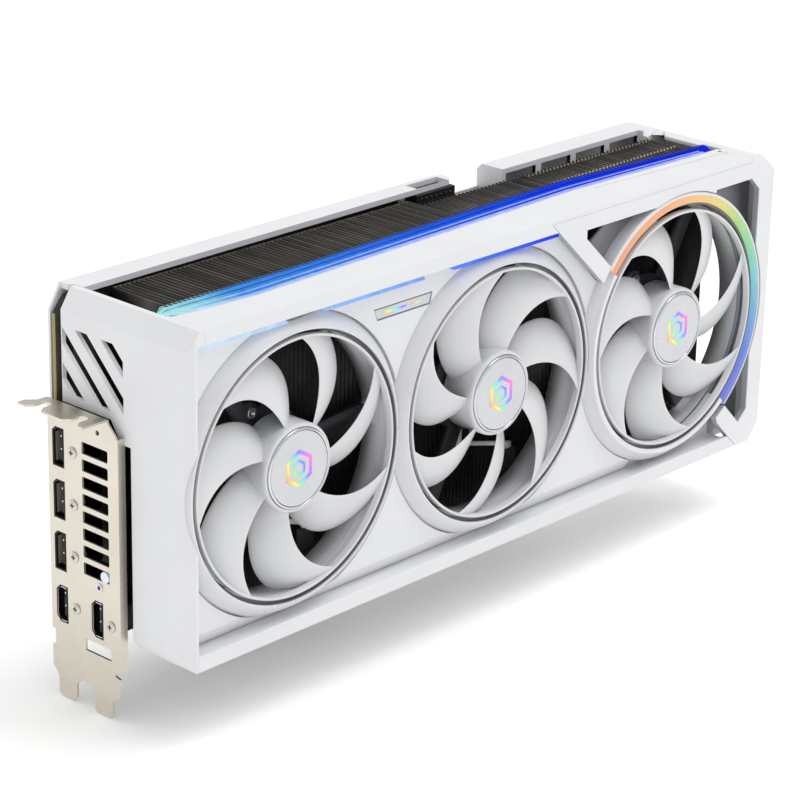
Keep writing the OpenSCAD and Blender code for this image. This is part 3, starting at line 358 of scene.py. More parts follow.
HOLOGRAM = ((0.0, "#f0a05a"), (0.18, "#ecd95c"), (0.34, "#7fdf96"), (0.5, "#63cfe4"),
            (0.66, "#6f7ff0"), (0.82, "#c06be6"), (1.0, "#ee78b4"))


def satin(name, low, high, rough=0.3):
    """Silver lacquer."""
    return (Paint(name, low, rough, 0.2, Coat_Weight=0.15, Coat_Roughness=0.3)
            .mottle(low, high, 70).worn(rough * 0.85, rough * 1.2, 300).grain(1600, 0.08, 0.003))


def hologram(name, period):
    """Film whose hue runs through the rainbow once in each period along the card, with a faint
    painted glow.
    """
    paint = Paint(name, "#808080", 0.2, 0.5, Coat_Weight=0.6, Coat_Roughness=0.06)
    slant = paint.math("ADD", paint.place(0), paint.math("MULTIPLY", paint.place(2), 0.5))
    start = ORIGIN.x + (FAN_X[0] - period / 2) * MM + 0.5 * (ORIGIN.z + FAN_Z * MM)
    phase = paint.math("DIVIDE", paint.math("SUBTRACT", slant, start), period * MM)
    hue = paint.ramp(paint.math("FRACT", phase), HOLOGRAM)
    paint.link(hue, paint.shader.inputs["Base Color"])
    # a faint painted glow in the film's own hue
    paint.link(hue, paint.shader.inputs["Emission Color"])
    paint.set("Emission Strength", 0.25)
    return paint.worn(0.15, 0.25, 300).grain(1200, 0.1, 0.005)


RING_HUES = (  # colour at each angle round the third fan, in degrees above the far side
    (-52, "#7f7fd6"), (-25, "#7489dc"), (-5, "#7fb0dc"), (12, "#8ad0d6"), (28, "#93d8a8"),
    (45, "#b4da8c"), (62, "#e8d983"), (80, "#f6c887"), (100, "#f6b285"), (142, "#f2a884"))
HUE_FROM, HUE_TO = -60, 150                   # angles that the ring's colours are spread over


def lit_ring():
    """Lit plastic whose colour runs round the third fan."""
    paint = Paint("lit_ring", "#101010", 0.4, Specular_IOR_Level=0.3)
    dz = paint.math("SUBTRACT", paint.place(2), ORIGIN.z + FAN_Z * MM)
    dx = paint.math("SUBTRACT", paint.place(0), ORIGIN.x + FAN_X[2] * MM)
    angle = paint.math("ARCTAN2", dz, dx)
    turn = paint.span(angle, math.radians(HUE_FROM), math.radians(HUE_TO), 0, 1)
    hue = paint.ramp(turn, [((a - HUE_FROM) / (HUE_TO - HUE_FROM), c) for a, c in RING_HUES])
    haze = paint.span(paint.noise(500, 2.0), 0.3, 0.7, 0.92, 1.0)
    paint.glow(hue, 0.95)
    paint.link(haze, paint.shader.inputs["Emission Strength"])
    return paint.grain(2500, 0.15, 0.01)


BAR_HUES = ((12, "#a8e8ea"), (26, "#8fd6ea"), (48, "#3f8ce6"), (150, "#1f60e8"),
            (230, "#1238e6"), (332, "#0c22d8"))


def lit_along(name, hues, strength, tint=None):
    """Lit plastic whose colour runs along the card."""
    paint = Paint(name, "#0a0d14", 0.5, Specular_IOR_Level=0.0)
    x0, x1 = hues[0][0], hues[-1][0]
    run = paint.span(paint.place(0), ORIGIN.x + x0 * MM, ORIGIN.x + x1 * MM, 0, 1)
    hue = paint.ramp(run, [((x - x0) / (x1 - x0), c) for x, c in hues])
    if tint:
        mix = paint.node("ShaderNodeMix", data_type="RGBA")
        mix.inputs[0].default_value = tint[0]
        mix.inputs[7].default_value = srgb(tint[1])
        paint.link(hue, mix.inputs[6])
        hue = mix.outputs[2]
    paint.glow(hue, strength)
    flicker = paint.span(paint.noise(260, 2.0), 0.3, 0.7, strength * 0.85, strength * 1.1)
    paint.link(flicker, paint.shader.inputs["Emission Strength"])
    return paint.grain(2500, 0.15, 0.01)


STRIP_HUES = ((11, "#cfe6fa"), (54, "#b9d6fa"), (72, "#9cc4f8"), (126, "#7fa8f8"),
              (142, "#5f8cf6"), (204, "#1c3ee8"))

MAT = {
    "white": shell_white().mat, "grey": frame_grey().mat, "rotor": rotor_white().mat,
    "collar": shell_white("collar_white", "#d6d7da", "#dddee0").mat,
    "cover": cover_white().mat,
    # far cover and rear housing: painted shade on their inner faces, half shade and full shade
    "far_cover": far_shell("far_cover_white", (330.3, 3.3, 2.1), (60, 129.3), SHADED).mat,
    "housing": far_shell("housing_white", (240.4, 61.6, 6.1), (73.7, 129.95), UNLIT_SHADE).mat,
    "bracket": bracket_metal().mat, "steel": steel("screw_steel", "#d2cfc8").mat,
    "motor": steel("motor_steel", "#8f9092").mat, "fin": fin_metal().mat,
    "chrome": steel("chrome", "#d7d9dc", 0.08, 0.16).mat,
    # near-black painted shade for holes, gaps and screw drive holes, built on the black plastic
    # material
    "black": black_plastic().mat, "recess_shade": black_plastic("recess_shade", "#0b0b0c").mat,
    "board": board().mat,
    "gold": plain("gold", "#d9a63a", "#e6ba58", 0.28, 1.0).mat,
    "contacts": contacts().mat,
    "chip": plain("chip", "#26272a", "#2d2e31", 0.5).mat,
    "package": plain("package", "#1f3a26", "#28482f", 0.4).mat,
    "pad": plain("pad", "#7f90a6", "#8c9db2", 0.8).mat,
    "choke": plain("choke", "#3b3c3e", "#47484a", 0.6).mat,
    "capacitor": plain("capacitor", "#9a968e", "#aaa69d", 0.35, 0.9).mat,
    "pipe": plain("pipe", "#9c8877", "#b09a87", 0.3, 1.0).mat,
    "chamber": plain("chamber", "#9b9c9f", "#aaabae", 0.35, 1.0).mat,
    "winding": plain("winding", "#7c4320", "#96572b", 0.4, 0.6).mat,
    "cable": plain("cable", "#dedcd6", "#e8e6e0", 0.6).mat,
    "header": plain("header", "#232326", "#2c2c30", 0.5).mat,
    "shell_metal": socket_metal().mat,
    "slider": plain("slider", "#d9d9da", "#e4e4e5", 0.5).mat,
    "badge": satin("badge", "#c6cad3", "#d4d7de").mat,
    "disc": satin("disc", "#cdced3", "#d5d6da").mat,
    "mark": hologram("mark", FAN_PITCH / 7).mat,
    "lip": satin("lip", "#dadbdd", "#e4e5e7", 0.24).mat,
    # mid grey: painted shade in the collars' grooves and the light ring's channel, and the badge's
    # dark surround
    "groove": plain("groove", "#6d6f72", "#797b7e", 0.5).mat,
    "liner": plain("liner", "#87837a", "#938f86", 0.4).mat,
    "lens": satin("lens", "#dfe6f2", "#eaf0f8", 0.15).mat,
    # the corner frame's inner faces get a painted half shade
    "frame": shell_with_painted_shade_inside("frame_white", (150, 0.45, 3.0), (345.4, None, 129.4),
                                    SHADED).mat,
    "lit_ring": lit_ring().mat,
    "lit_bar": lit_along("lit_bar", BAR_HUES, 1.0).mat,
    "lit_bar_back": lit_along("lit_bar_back", BAR_HUES, 0.62).mat,
    "lit_bar_deep": lit_along("lit_bar_deep", BAR_HUES, 0.25).mat,
    "lit_bar_pale": lit_along("lit_bar_pale", BAR_HUES, 1.0, (0.55, "#dfeaff")).mat,
    "lit_strip": lit_along("lit_strip", STRIP_HUES, 1.0).mat,
}
SLOT_MATERIAL = {   # the record's slots whose material has another name
    "white_shell": "white", "white_backplate": "white", "rotor_white": "rotor",
    "frame_grey": "grey", "hub_disc": "disc", "bracket_metal": "bracket", "screw_steel": "steel",
    "socket_metal": "shell_metal", "socket_black": "black", "motor_steel": "motor",
}

# ---------------------------------------------------------------- CAD nodes that stay
BEVELS = {  # width in millimetres of the rounded edges on the nodes that show
    "left_end_cover": 0.5, "top_rail": 0.4, "right_end_cover": 0.5, "bottom_rail": 0.4,
    "front_panel": 0.3, "corner_frame": 0.5, "backplate": 0.3, "rear_housing": 0.8,
    "io_bracket": 0.12, "badge_plate": 0.1, "power_connector": 0.2, "fan_headers": 0.15,
}


def dress(node, material, bevel=0.0):
    """Gives a CAD node its material and, through modifiers only, rounded edges."""
    ob = NODES[node]
    ob.data.materials.clear()
    ob.data.materials.append(material)
    if "custom_normal" in ob.data.attributes:
        ob.data.attributes.remove(ob.data.attributes["custom_normal"])
    ob.data.shade_smooth()
    weld = ob.modifiers.new("weld", "WELD")
    weld.merge_threshold = 0.001 * MM
    if bevel:
        flat = ob.modifiers.new("flat", "DECIMATE")
        flat.decimate_type = "DISSOLVE"
        flat.angle_limit = math.radians(1)
        edge = ob.modifiers.new("edge", "BEVEL")
        edge.width = bevel * MM
        edge.segments = 3
        edge.limit_method = "ANGLE"
        edge.angle_limit = math.radians(28)
        edge.use_clamp_overlap = True
        edge.harden_normals = True
        normals = ob.modifiers.new("normals", "WEIGHTED_NORMAL")
        normals.keep_sharp = True
    else:
        ob.data.set_sharp_from_angle(angle=math.radians(30))


OWN_MATERIAL = {    # nodes that don't take their slot's material
    "left_end_cover": "cover", "right_end_cover": "far_cover", "rear_housing": "housing",
    "corner_frame": "frame", "edge_contacts": "contacts",
}
for part in frame["record"]["subparts"]:
    node = part["node"]
    slot = part["material_slot"]
    key = OWN_MATERIAL.get(node, SLOT_MATERIAL.get(slot, slot))
    dress(node, MAT[key], BEVELS.get(node, 0.0))

# ---------------------------------------------------------------- shapes
class Shape:
    """Mesh put together in the card's frame and millimetres."""

    def __init__(self):
        self.verts, self.faces, self.slots = [], [], []

    def add(self, verts, faces, slot=0):
        base = len(self.verts)
        self.verts += [tuple(v) for v in verts]
        self.faces += [tuple(base + i for i in f) for f in faces]
        self.slots += slot if isinstance(slot, list) else [slot] * len(faces)
        return self

    def loft(self, rows, slot=0, ring=True):
        """Skin over rows of points; each row is a closed loop, and ring joins last to first."""
        n, w = len(rows), len(rows[0])
        faces, slots = [], []
        for i in range(n if ring else n - 1):
            for j in range(w):
                k, m = (i + 1) % n, (j + 1) % w
                faces.append((i * w + j, i * w + m, k * w + m, k * w + j))
                slots.append(slot[j] if isinstance(slot, list) else slot)
        if not ring:
            faces += [tuple(range(w)), tuple((n - 1) * w + j for j in reversed(range(w)))]
            slots += [slots[0]] * 2
        return self.add([p for row in rows for p in row], faces, slots)

    def lathe(self, profile, x, z, slot=0, start=0, stop=360, steps=144):
        """Closed profile of (radius, y) turned about a Y axis through x, z."""
        full = stop - start >= 360
        count = steps if full else steps + 1
        rows = []
        for i in range(count):
            a = math.radians(start + (stop - start) * i / steps)
            rows.append([(x + r * math.cos(a), y, z + r * math.sin(a)) for r, y in profile])
        return self.loft(rows, slot, ring=full)

    def turned(self, profile, y, z, slot=0, steps=28):
        """Closed profile of (radius, x) turned about an X axis through y, z."""
        rows = []
        for k in range(steps):
            a = 2 * math.pi * k / steps
            rows.append([(d, y + r * math.cos(a), z + r * math.sin(a)) for r, d in profile])
        return self.loft(rows, slot)

    def box(self, low, high, slot=0):
        (a, b, c), (d, e, f) = low, high
        verts = [(a, b, c), (d, b, c), (d, e, c), (a, e, c),
                 (a, b, f), (d, b, f), (d, e, f), (a, e, f)]
        return self.add(verts, [(0, 3, 2, 1), (4, 5, 6, 7), (0, 1, 5, 4), (1, 2, 6, 5),
                                (2, 3, 7, 6), (3, 0, 4, 7)], slot)

    def build(self, name, body, materials, replaces=(), smooth=35, bevel=0.0):
        """Makes the object, rounds its edges and sets it riding on a body."""
        mesh = bpy.data.meshes.new(name)
        mesh.from_pydata([ORIGIN + Vector(v) * MM for v in self.verts], [], self.faces)
        mesh.polygons.foreach_set("material_index", self.slots)
        bm = bmesh.new()
        bm.from_mesh(mesh)
        bmesh.ops.recalc_face_normals(bm, faces=bm.faces)
        bm.to_mesh(mesh)
        bm.free()
        for key in materials:
            mesh.materials.append(MAT[key])
        mesh.shade_smooth()
        mesh.set_sharp_from_angle(angle=math.radians(smooth))
        ob = bpy.data.objects.new(name, mesh)
        bpy.context.scene.collection.objects.link(ob)
        if bevel:
            edge = ob.modifiers.new("edge", "BEVEL")
            edge.width = bevel * MM
            edge.segments = 2
            edge.limit_method = "ANGLE"
            edge.angle_limit = math.radians(40)
            edge.harden_normals = True
        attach(ob, body)
        if replaces:
            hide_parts(*replaces)
        return ob


def rounded(points, radius, steps=5):
    """Closed outline with its corners rounded, save those on the axis it is turned about."""
    out = []
    for i, p in enumerate(points):
        a, b = Vector(points[i - 1]), Vector(points[(i + 1) % len(points)])
        p = Vector(p)
        u, v = (a - p), (b - p)
        r = min(radius, u.length * 0.45, v.length * 0.45)
        if p.x < 0.01 or r < 0.02:
            out.append(tuple(p))
            continue
        s, e = p + u.normalized() * r, p + v.normalized() * r
        for k in range(steps + 1):
            t = k / steps
            out.append(tuple(s * (1 - t) ** 2 + p * (2 * t * (1 - t)) + e * t ** 2))
    return out


# ---------------------------------------------------------------- fans
HUB_R = 17.5
HUB_DEPTH = 15
RIM_W = 1.1
RIM_DEPTH = 3.0
BLADES = 7
HUB_BITE, RIM_BITE = 0.9, 0.4                 # how far the blades run into hub and rim
SPAN_STEPS, CHORD_STEPS = 22, 12
REAR_RIM_R = (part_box("rear_fan_rotor")[1].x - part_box("rear_fan_rotor")[0].x) / MM / 2
REAR_Y = (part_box("rear_fan_rotor")[1].y - ORIGIN.y) / MM


def blade_point(inner, outer, x, s, side):
    """Point on one side of a blade, from the middle of the fan's front.

    x runs from -1 at the hub to 1 at the rim, s from 0 to 1 along the chord.
    """
    def mid(x, s):
        bow = 4 * s * (1 - s)
        a0, a1 = 15 * x + 4 * x ** 2 + 2 * x ** 3, -32 + 18 * x + 4 * x ** 2 + 1.5 * x ** 3
        y0, y1 = 2.1 - 0.9 * x - 0.7 * x ** 2, 10 - 0.8 * x + 1.9 * x ** 2
        a = math.radians(a0 * (1 - s) + a1 * s - 2.2 * bow)
        r = inner + (outer - inner) * (x + 1) / 2
        return Vector((r * math.cos(a), y0 * (1 - s) + y1 * s - 0.7 * bow, r * math.sin(a)))
    h = 0.02
    normal = (mid(x + h, s) - mid(x - h, s)).cross(mid(x, s + h) - mid(x, s - h)).normalized()
    bow = max(0.0, 4 * s * (1 - s))
    half = 0.85 * bow ** 0.5 if bow < 0.16 else 0.35 + 0.5 * bow - 0.09 * (1 - bow)
    return mid(x, s) + normal * side * max(half, 0.02)


def add_rotor(name, body, node, x, y, outer, phase, flip, back):
    """Rim, hub and blades; flip mirrors the blades, back turns the fan to face away."""
    def put(p):
        return (x + (-p[0] if flip or back else p[0]), y + (-p[1] if back else p[1]), FAN_Z + p[2])
    shape = Shape()
    chord = [(1 - math.cos(math.pi * j / CHORD_STEPS)) / 2 for j in range(CHORD_STEPS + 1)]
    for k in range(BLADES):
        turn = Matrix.Rotation(-math.radians(phase + 360 * k / BLADES), 3, "Y")
        rows = []
        for i in range(SPAN_STEPS + 1):
            t = -1 + 2 * i / SPAN_STEPS
            ends = (HUB_R - HUB_BITE, outer - RIM_BITE)
            loop = [blade_point(*ends, t, s, 1) for s in chord]
            loop += [blade_point(*ends, t, s, -1) for s in reversed(chord)]
            rows.append([put(turn @ p) for p in loop])
        shape.loft(rows, 0, ring=False)
    rim = rounded([(outer - RIM_W, 0), (outer, 0), (outer, RIM_DEPTH),
                   (outer - RIM_W, RIM_DEPTH)], 0.4)
    side = -1 if back else 1
    shape.lathe([(r, y + side * d) for r, d in rim], x, FAN_Z)
    hub = rounded([(0.01, 0.6), (HUB_R - 1.6, 0.6), (HUB_R - 1.6, 0.0), (HUB_R - 0.5, 0.0),
                   (HUB_R, 1.2), (HUB_R, HUB_DEPTH), (HUB_R - 1.5, HUB_DEPTH),
                   (HUB_R - 1.5, 2.1), (0.01, 2.1)], 0.7)
    shape.lathe([(r, y + side * d) for r, d in hub], x, FAN_Z, steps=96)
    shape.build(name, body, ("rotor",), (node,), smooth=40)


def add_hub_disc(i):
    """Silver disc in a chrome ring, with a plain six-sided mark in low relief."""
    x = FAN_X[i]
    disc = [(0.01, -0.5), (HUB_R - 2.9, -0.5), (HUB_R - 2.8, -0.2), (HUB_R - 2.8, 0.6), (0.01, 0.6)]
    ring = rounded([(HUB_R - 2.7, -0.1), (HUB_R - 2.5, -0.75), (HUB_R - 1.8, -0.45),
                    (HUB_R - 1.65, 0.6), (HUB_R - 2.7, 0.6)], 0.2)
    shape = Shape().lathe(disc, x, FAN_Z, 0, steps=96).lathe(ring, x, FAN_Z, 2, steps=96)
    for outer, inner in ((7.6, 6.0), (3.6, 2.4)):
        profile = [(inner, -0.6), (outer, -0.6), (outer, -0.4), (inner, -0.4)]
        shape.lathe(profile, x, FAN_Z, 1, start=30, stop=390, steps=6)
    shape.build(f"fan_{i + 1}_hub_disc", f"fan_{i + 1}", ("disc", "mark", "chrome"),
                (f"fan_{i + 1}_hub_cap",))


FAN_TURNS = ((68, False), (122, True), (60, False))   # first blade's angle, and mirrored or not
for i, (phase, flip) in enumerate(FAN_TURNS):
    add_rotor(f"fan_{i + 1}_blades", f"fan_{i + 1}", f"fan_{i + 1}_rotor",
              FAN_X[i], 0.0, RIM_R, phase, flip, False)
    add_hub_disc(i)
add_rotor("rear_fan_blades", "rear_fan", "rear_fan_rotor", REAR_FAN_X, REAR_Y, REAR_RIM_R, 20,
          False, True)

# ---------------------------------------------------------------- lights
RING_R0, RING_LIT, RING_FACE, RING_R1 = RIM_R + 1.9, RIM_R + 3.0, RIM_R + 5.9, RIM_R + 7.6
RING_START, RING_STOP = -49.4, 141.7          # degrees above the far side


def add_light_ring():
    """Lit face between a channel painted grey as shade beside the rim and a white outer wall."""
    lit = rounded([(RING_LIT, 0.1), (RING_LIT + 0.4, -0.3), (RING_FACE, -0.3), (RING_FACE, 5),
                   (RING_LIT, 5)], 0.25)
    wall = rounded([(RING_FACE + 0.05, 0.1), (RING_FACE + 0.9, -0.1), (RING_R1, 0.6),
                    (RING_R1, 6.5), (RING_FACE + 0.05, 6.5)], 0.3)
    channel = [(RING_R0, 1.6), (RING_LIT - 0.05, 1.6), (RING_LIT - 0.05, 6.5), (RING_R0, 6.5)]
    shape = Shape()
    for slot, profile in enumerate((lit, wall, channel)):
        shape.lathe(profile, FAN_X[2], FAN_Z, slot, RING_START, RING_STOP)
    shape.build("light_ring_look", "card", ("lit_ring", "white", "groove"), ("light_ring",))


add_light_ring()

BAR_FRONT = ((12.5, 18.5), (50, 15.8), (235, 22.6), (328, 19.4))
BAR_BACK = ((17, 29.6), (90, 29.9), (242, 34.9), (331, 28.0))
BAR_LOW, BAR_HIGH = 129.0, 131.85
BAR_STEPS = 80
BAR_END = 5                                   # length of each shaped end
POINT_X = 326                                 # where the pointed end starts
TOOTH_PITCH, TOOTH_W = 1.23, 0.6
TOOTH_FROM, TOOTH_TO = 16.0, 322
NOTCH_PITCH, NOTCH_W = 2.3, 1.1
NOTCH_FROM, NOTCH_TO = 18.0, 328


def along(line, x):
    """Y of a bent line at x, with its end pieces carried on."""
    for (x0, y0), (x1, y1) in zip(line, line[1:]):
        if x <= x1 or (x1, y1) == line[-1]:
            return y0 + (y1 - y0) * (x - x0) / (x1 - x0)


def add_light_bar():
    """Lit bar in bands across its width, with two rows of pale teeth and a row of dark notches
    painted as shade.
    """
    bands = ((0.0, 0), (0.1, 0), (0.42, 0), (0.58, 1), (0.63, 0), (0.85, 3), (1.0, 3))
    shape = Shape()
    x0, x1 = BAR_FRONT[0][0], BAR_BACK[-1][0]
    stations = [x0 + (x1 - x0) * k / BAR_STEPS for k in range(BAR_STEPS + 1)]
    rows = []
    for x in stations:
        front = along(BAR_FRONT, min(x, BAR_FRONT[-1][0]))
        back = along(BAR_BACK, max(x, BAR_BACK[0][0]))
        if x < x0 + BAR_END:                 # rounded near end
            t = (x0 + BAR_END - x) / BAR_END
            front, back = front + 1.6 * t ** 2, back - 3.4 * t ** 2
        if x > POINT_X:                      # pointed far end
            t = (x - POINT_X) / BAR_END
            front = front + (back - front) * 0.75 * t
        top = [(x, front + (back - front) * s, BAR_HIGH) for s, _ in bands]
        rows.append(top + [(x, back, BAR_LOW), (x, front, BAR_LOW)])
    slots = [slot for _, slot in bands[:-1]] + [3, 3, 3]
    shape.loft(rows, slots, ring=False)
    x = TOOTH_FROM
    while x < TOOTH_TO:
        y = along(BAR_FRONT, x)
        shape.box((x, y - 1.3, TOP_Z - 0.3), (x + TOOTH_W, y + 1.6, TOP_Z + 0.07), 2)
        y = y + 0.34 * (along(BAR_BACK, x) - y)
        shape.box((x, y - 0.6, BAR_HIGH - 0.2), (x + TOOTH_W, y + 0.6, BAR_HIGH + 0.1), 2)
        x += TOOTH_PITCH
    x = NOTCH_FROM
    while x < NOTCH_TO:                      # dark notches: painted shade in the gaps against the fins
        y = along(BAR_BACK, x)
        shape.box((x, y - 2.0, BAR_HIGH - 0.2), (x + NOTCH_W, y + 0.02, BAR_HIGH + 0.06), 4)
        x += NOTCH_PITCH
    shape.build("light_bar_look", "card", ("lit_bar", "lit_bar_deep", "lit_bar_pale",
                                           "lit_bar_back", "recess_shade"), ("light_bar",), smooth=25)


add_light_bar()

# ---------------------------------------------------------------- collars
DUCT_R, LIP_R, FLARE_R = RIM_R + 0.65, RIM_R + 2.65, RIM_R + 7.8
WEB_Y = 6.5
FLANK_DEPTH, FLANK_CURVE = 5.4, 1.15
PANEL_TOP = TOP_Z - 6
COLLAR_LOW, COLLAR_HIGH = 10, PANEL_TOP - 2.3
NO_LIMIT = 999
COLLAR_STEPS, FOOT_STEPS = 180, 8
MID_12, MID_23 = FAN_X[0] + FAN_PITCH / 2, FAN_X[1] + FAN_PITCH / 2


def flank(r):
    """Depth of a collar's sloping flank at a radius."""
    t = max(0.0, (r - LIP_R) / (FLARE_R - LIP_R))
    return FLANK_DEPTH * t ** FLANK_CURVE


def reach(centre, low, high, slope):
    """How far a ray from a fan's axis runs before it meets a collar's straight cut."""
    if abs(slope) <= 1e-6:
        return NO_LIMIT
    return ((high if slope > 0 else low) - centre) / slope


def add_collar(i, low, high, start=0, stop=360, flat=0.0):
    """Flared collar with a groove painted grey as shade inside a bright lip; low and high are its
    cut sides.
    """
    x = FAN_X[i]
    groove = [(DUCT_R, WEB_Y), (DUCT_R, 2.4), (DUCT_R + 0.95, 2.2), (DUCT_R + 1.05, 0.35)]
    lip = [(DUCT_R + 1.25, -0.2), (LIP_R - 0.35 + flat, -0.3), (LIP_R + flat, 0.0)]
    foot = [FLARE_R - (FLARE_R - LIP_R - flat) * (1 - k / FOOT_STEPS)
            for k in range(1, FOOT_STEPS + 1)]
    # slots: collar, groove in painted shade, lip, then collar again
    slots = [0] + [1] * 2 + [2] * 3 + [0] * (len(foot) + 2)
    shape = Shape()
    full = stop - start >= 360
    rows = []
    for k in range(COLLAR_STEPS if full else COLLAR_STEPS + 1):
        a = math.radians(start + (stop - start) * k / COLLAR_STEPS)
        c, s = math.cos(a), math.sin(a)
        limit = min(reach(x, low[0], high[0], c), reach(FAN_Z, low[1], high[1], s))
        limit = max(limit, LIP_R + 0.05 + flat)
        outer = [(min(r, limit), flank(min(r, limit) - flat * 0.5)) for r in foot]
        profile = groove + lip + outer + [(outer[-1][0], WEB_Y)]
        rows.append([(x + r * c, y, FAN_Z + r * s) for r, y in profile])
    shape.loft(rows, slots, ring=full)
    shape.build(f"fan_{i + 1}_collar_look", "card", ("collar", "groove", "lip"),
                (f"fan_{i + 1}_collar",), smooth=40)


add_collar(0, (7.6, COLLAR_LOW), (MID_12 - 0.1, COLLAR_HIGH))
add_collar(1, (MID_12 + 0.1, COLLAR_LOW), (MID_23 - 0.1, COLLAR_HIGH))
add_collar(2, (MID_23 + 0.1, 6.6), (340, COLLAR_HIGH), 142.1, 310.2, 1.4)

# ---------------------------------------------------------------- bracket and sockets
SOCKET_PITCH, SLOT_PITCH = 20.95, 20.32
DP_Y, DP_Z = 67.6, 71.7
HDMI_Z = DP_Z - 3 * SOCKET_PITCH - 0.6
HDMI_Y = (DP_Y - 0.4, DP_Y - SLOT_PITCH)


def add_socket_insides():
    """Tongues with their contacts, shell linings, and the rims round the sockets' mouths."""
    shape = Shape()
    sockets = [(DP_Y, DP_Z - k * SOCKET_PITCH, 6.0, 10) for k in range(3)]
    sockets += [(y, HDMI_Z, 5.6, 9) for y in HDMI_Y]
    for n, (y, z, half, contacts) in enumerate(sockets):
        shape.box((1.6, y - 0.6, z - half), (14, y + 0.6, z + half))
        for k in range(contacts):
            c = z - half + 0.9 + (2 * half - 1.8) * k / (contacts - 1)
            shape.box((2.2, y - 0.68, c - 0.2), (13, y - 0.6, c + 0.2), 1)
            shape.box((2.2, y + 0.6, c - 0.2), (13, y + 0.68, c + 0.2), 1)
        for dz in (3.9, -1.3):
            shape.box((1.5, y - 0.3, z + dz - 0.35), (1.64, y + 0.25, z + dz + 0.35), 2)
        for side in ((1,) if n < 3 else (1, -1)):      # the hole's cut corners
            top, leg = (7.95, 1.9) if n < 3 else (7.65, 2.3)
            tri = ((y + 3.35, z + side * top), (y + 3.35, z + side * (top - leg)),
                   (y + 3.35 - leg, z + side * top))
            verts = [(x, p, q) for x in (0.01, 0.4) for p, q in tri]
            faces = [(2, 1, 0), (3, 4, 5), (0, 1, 4, 3), (1, 2, 5, 4), (2, 0, 3, 5)]
            shape.add(verts, faces if side > 0 else [f[::-1] for f in faces], 4)
        if n < 3:
            shape.box((1.1, y + 2.58, z - 6.4), (3.7, y + 2.66, z + 5.2), 3)
            shape.box((-0.03, y - 2.7, z - 8.25), (0.1, y + 1.4, z - 7.95), 2)
            continue
        path = ((-2.3, 6.75), (1.15, 6.85), (2.7, 5.1), (2.7, -4.9), (1.25, -6.9), (-2.4, -6.85))
        for (a, b), (c, d) in zip(path, path[1:]):
            along_y, along_z = c - a, d - b
            size = math.hypot(along_y, along_z)
            off_y, off_z = 0.17 * along_z / size, -0.17 * along_y / size
            corners = ((a - off_y, b - off_z), (a + off_y, b + off_z), (c + off_y, d + off_z),
                       (c - off_y, d - off_z))
            verts = [(x, y + p, z + q) for x in (0.05, 0.9) for p, q in corners]
            shape.add(verts, [(3, 2, 1, 0), (4, 5, 6, 7), (0, 1, 5, 4), (1, 2, 6, 5),
                              (2, 3, 7, 6), (3, 0, 4, 7)], 2)
    shape.build("socket_insides", "card", ("black", "gold", "chrome", "liner", "bracket"),
                ("socket_tongues",), bevel=0.05)


def add_bracket_screws():
    """Low pan heads whose cross-shaped drive hole is drawn in near-black painted shade, in a
    shallow ring pressed into the sheet.
    """
    spots = [(59.6, DP_Z - k * SOCKET_PITCH) for k in range(3)]
    spots += [(59.2, HDMI_Z + 0.4), (HDMI_Y[1] - 7.6, HDMI_Z - 0.4)]
    shape = Shape()
    for y, z in spots:
        head = rounded([(0.01, -0.78), (1.5, -0.72), (2.25, -0.4), (2.3, -0.02), (1.2, -0.02),
                        (1.2, 5), (0.01, 5)], 0.25)
        shape.turned(head, y, z, steps=32)
        # the cross: two near-black boxes, painted shade for the drive hole
        for w, h in ((0.26, 1.05), (1.05, 0.26)):
            shape.box((-0.82, y - w, z - h), (-0.5, y + w, z + h), 1)
    shape.build("bracket_screw_heads", "card", ("steel", "recess_shade"), ("bracket_screws",))


def add_indicator():
    """Small light beside the vents: a clear lens, and below it a bright ring round a hole painted
    dark as shade.
    """
    shape = Shape()
    lens, eyelet = (42.9, 26.7, 0.01, 2.3, -0.1, 3.0), (45.8, 21.7, 0.8, 1.9, -0.5, 2.2)
    for slot, (y, z, inner, r, x0, x1) in enumerate((lens, eyelet)):
        ring = rounded([(inner, x0), (r, x0), (r, x1), (inner, x1)], 0.4)
        shape.turned(ring, y, z, slot)
    # near-black box: painted shade in the hole under the ring
    shape.box((-0.1, 45.0, 20.9), (0.1, 46.6, 22.5), 2)
    shape.build("indicator_lens", "card", ("lens", "chrome", "recess_shade"), smooth=50)


add_socket_insides()
add_bracket_screws()
add_indicator()


# ---------------------------------------------------------------- small things on the shroud
def add_badge():
    """Silver badge in a dark surround, with a plain rainbow bar on it."""
    low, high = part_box("badge_plate")
    x0, z0 = (low.x - ORIGIN.x) / MM, (low.z - ORIGIN.z) / MM
    x1, z1 = (high.x - ORIGIN.x) / MM, (high.z - ORIGIN.z) / MM
    y = (low.y - ORIGIN.y) / MM
    shape = Shape()

    def slab(grow, front, back, slot):
        corners = ((x0 + grow, z1 - grow), (x0 + 2, z0 + grow), (x1 - 1 - grow, z0 + grow),
                   (x1 - grow, z1 - grow))
        verts = [(x, d, z) for d in (front, back) for x, z in corners]
        shape.add(verts, [(0, 1, 2, 3), (7, 6, 5, 4), (0, 4, 5, 1), (1, 5, 6, 2), (2, 6, 7, 3),
                          (3, 7, 4, 0)], slot)

    slab(0, y, y + 0.6, 1)
    slab(0.45, y - 0.06, y + 0.1, 0)
    shape.box((x0 + 5, y - 0.1, z0 + 1.8), (x0 + 18, y, z1 - 1.7), 2)
    shape.box((x0 + 20, y - 0.1, z0 + 2.0), (x1 - 4, y, z1 - 2.1), 2)
    shape.build("badge_look", "card", ("badge", "groove", "mark"), ("badge_plate",), bevel=0.05)


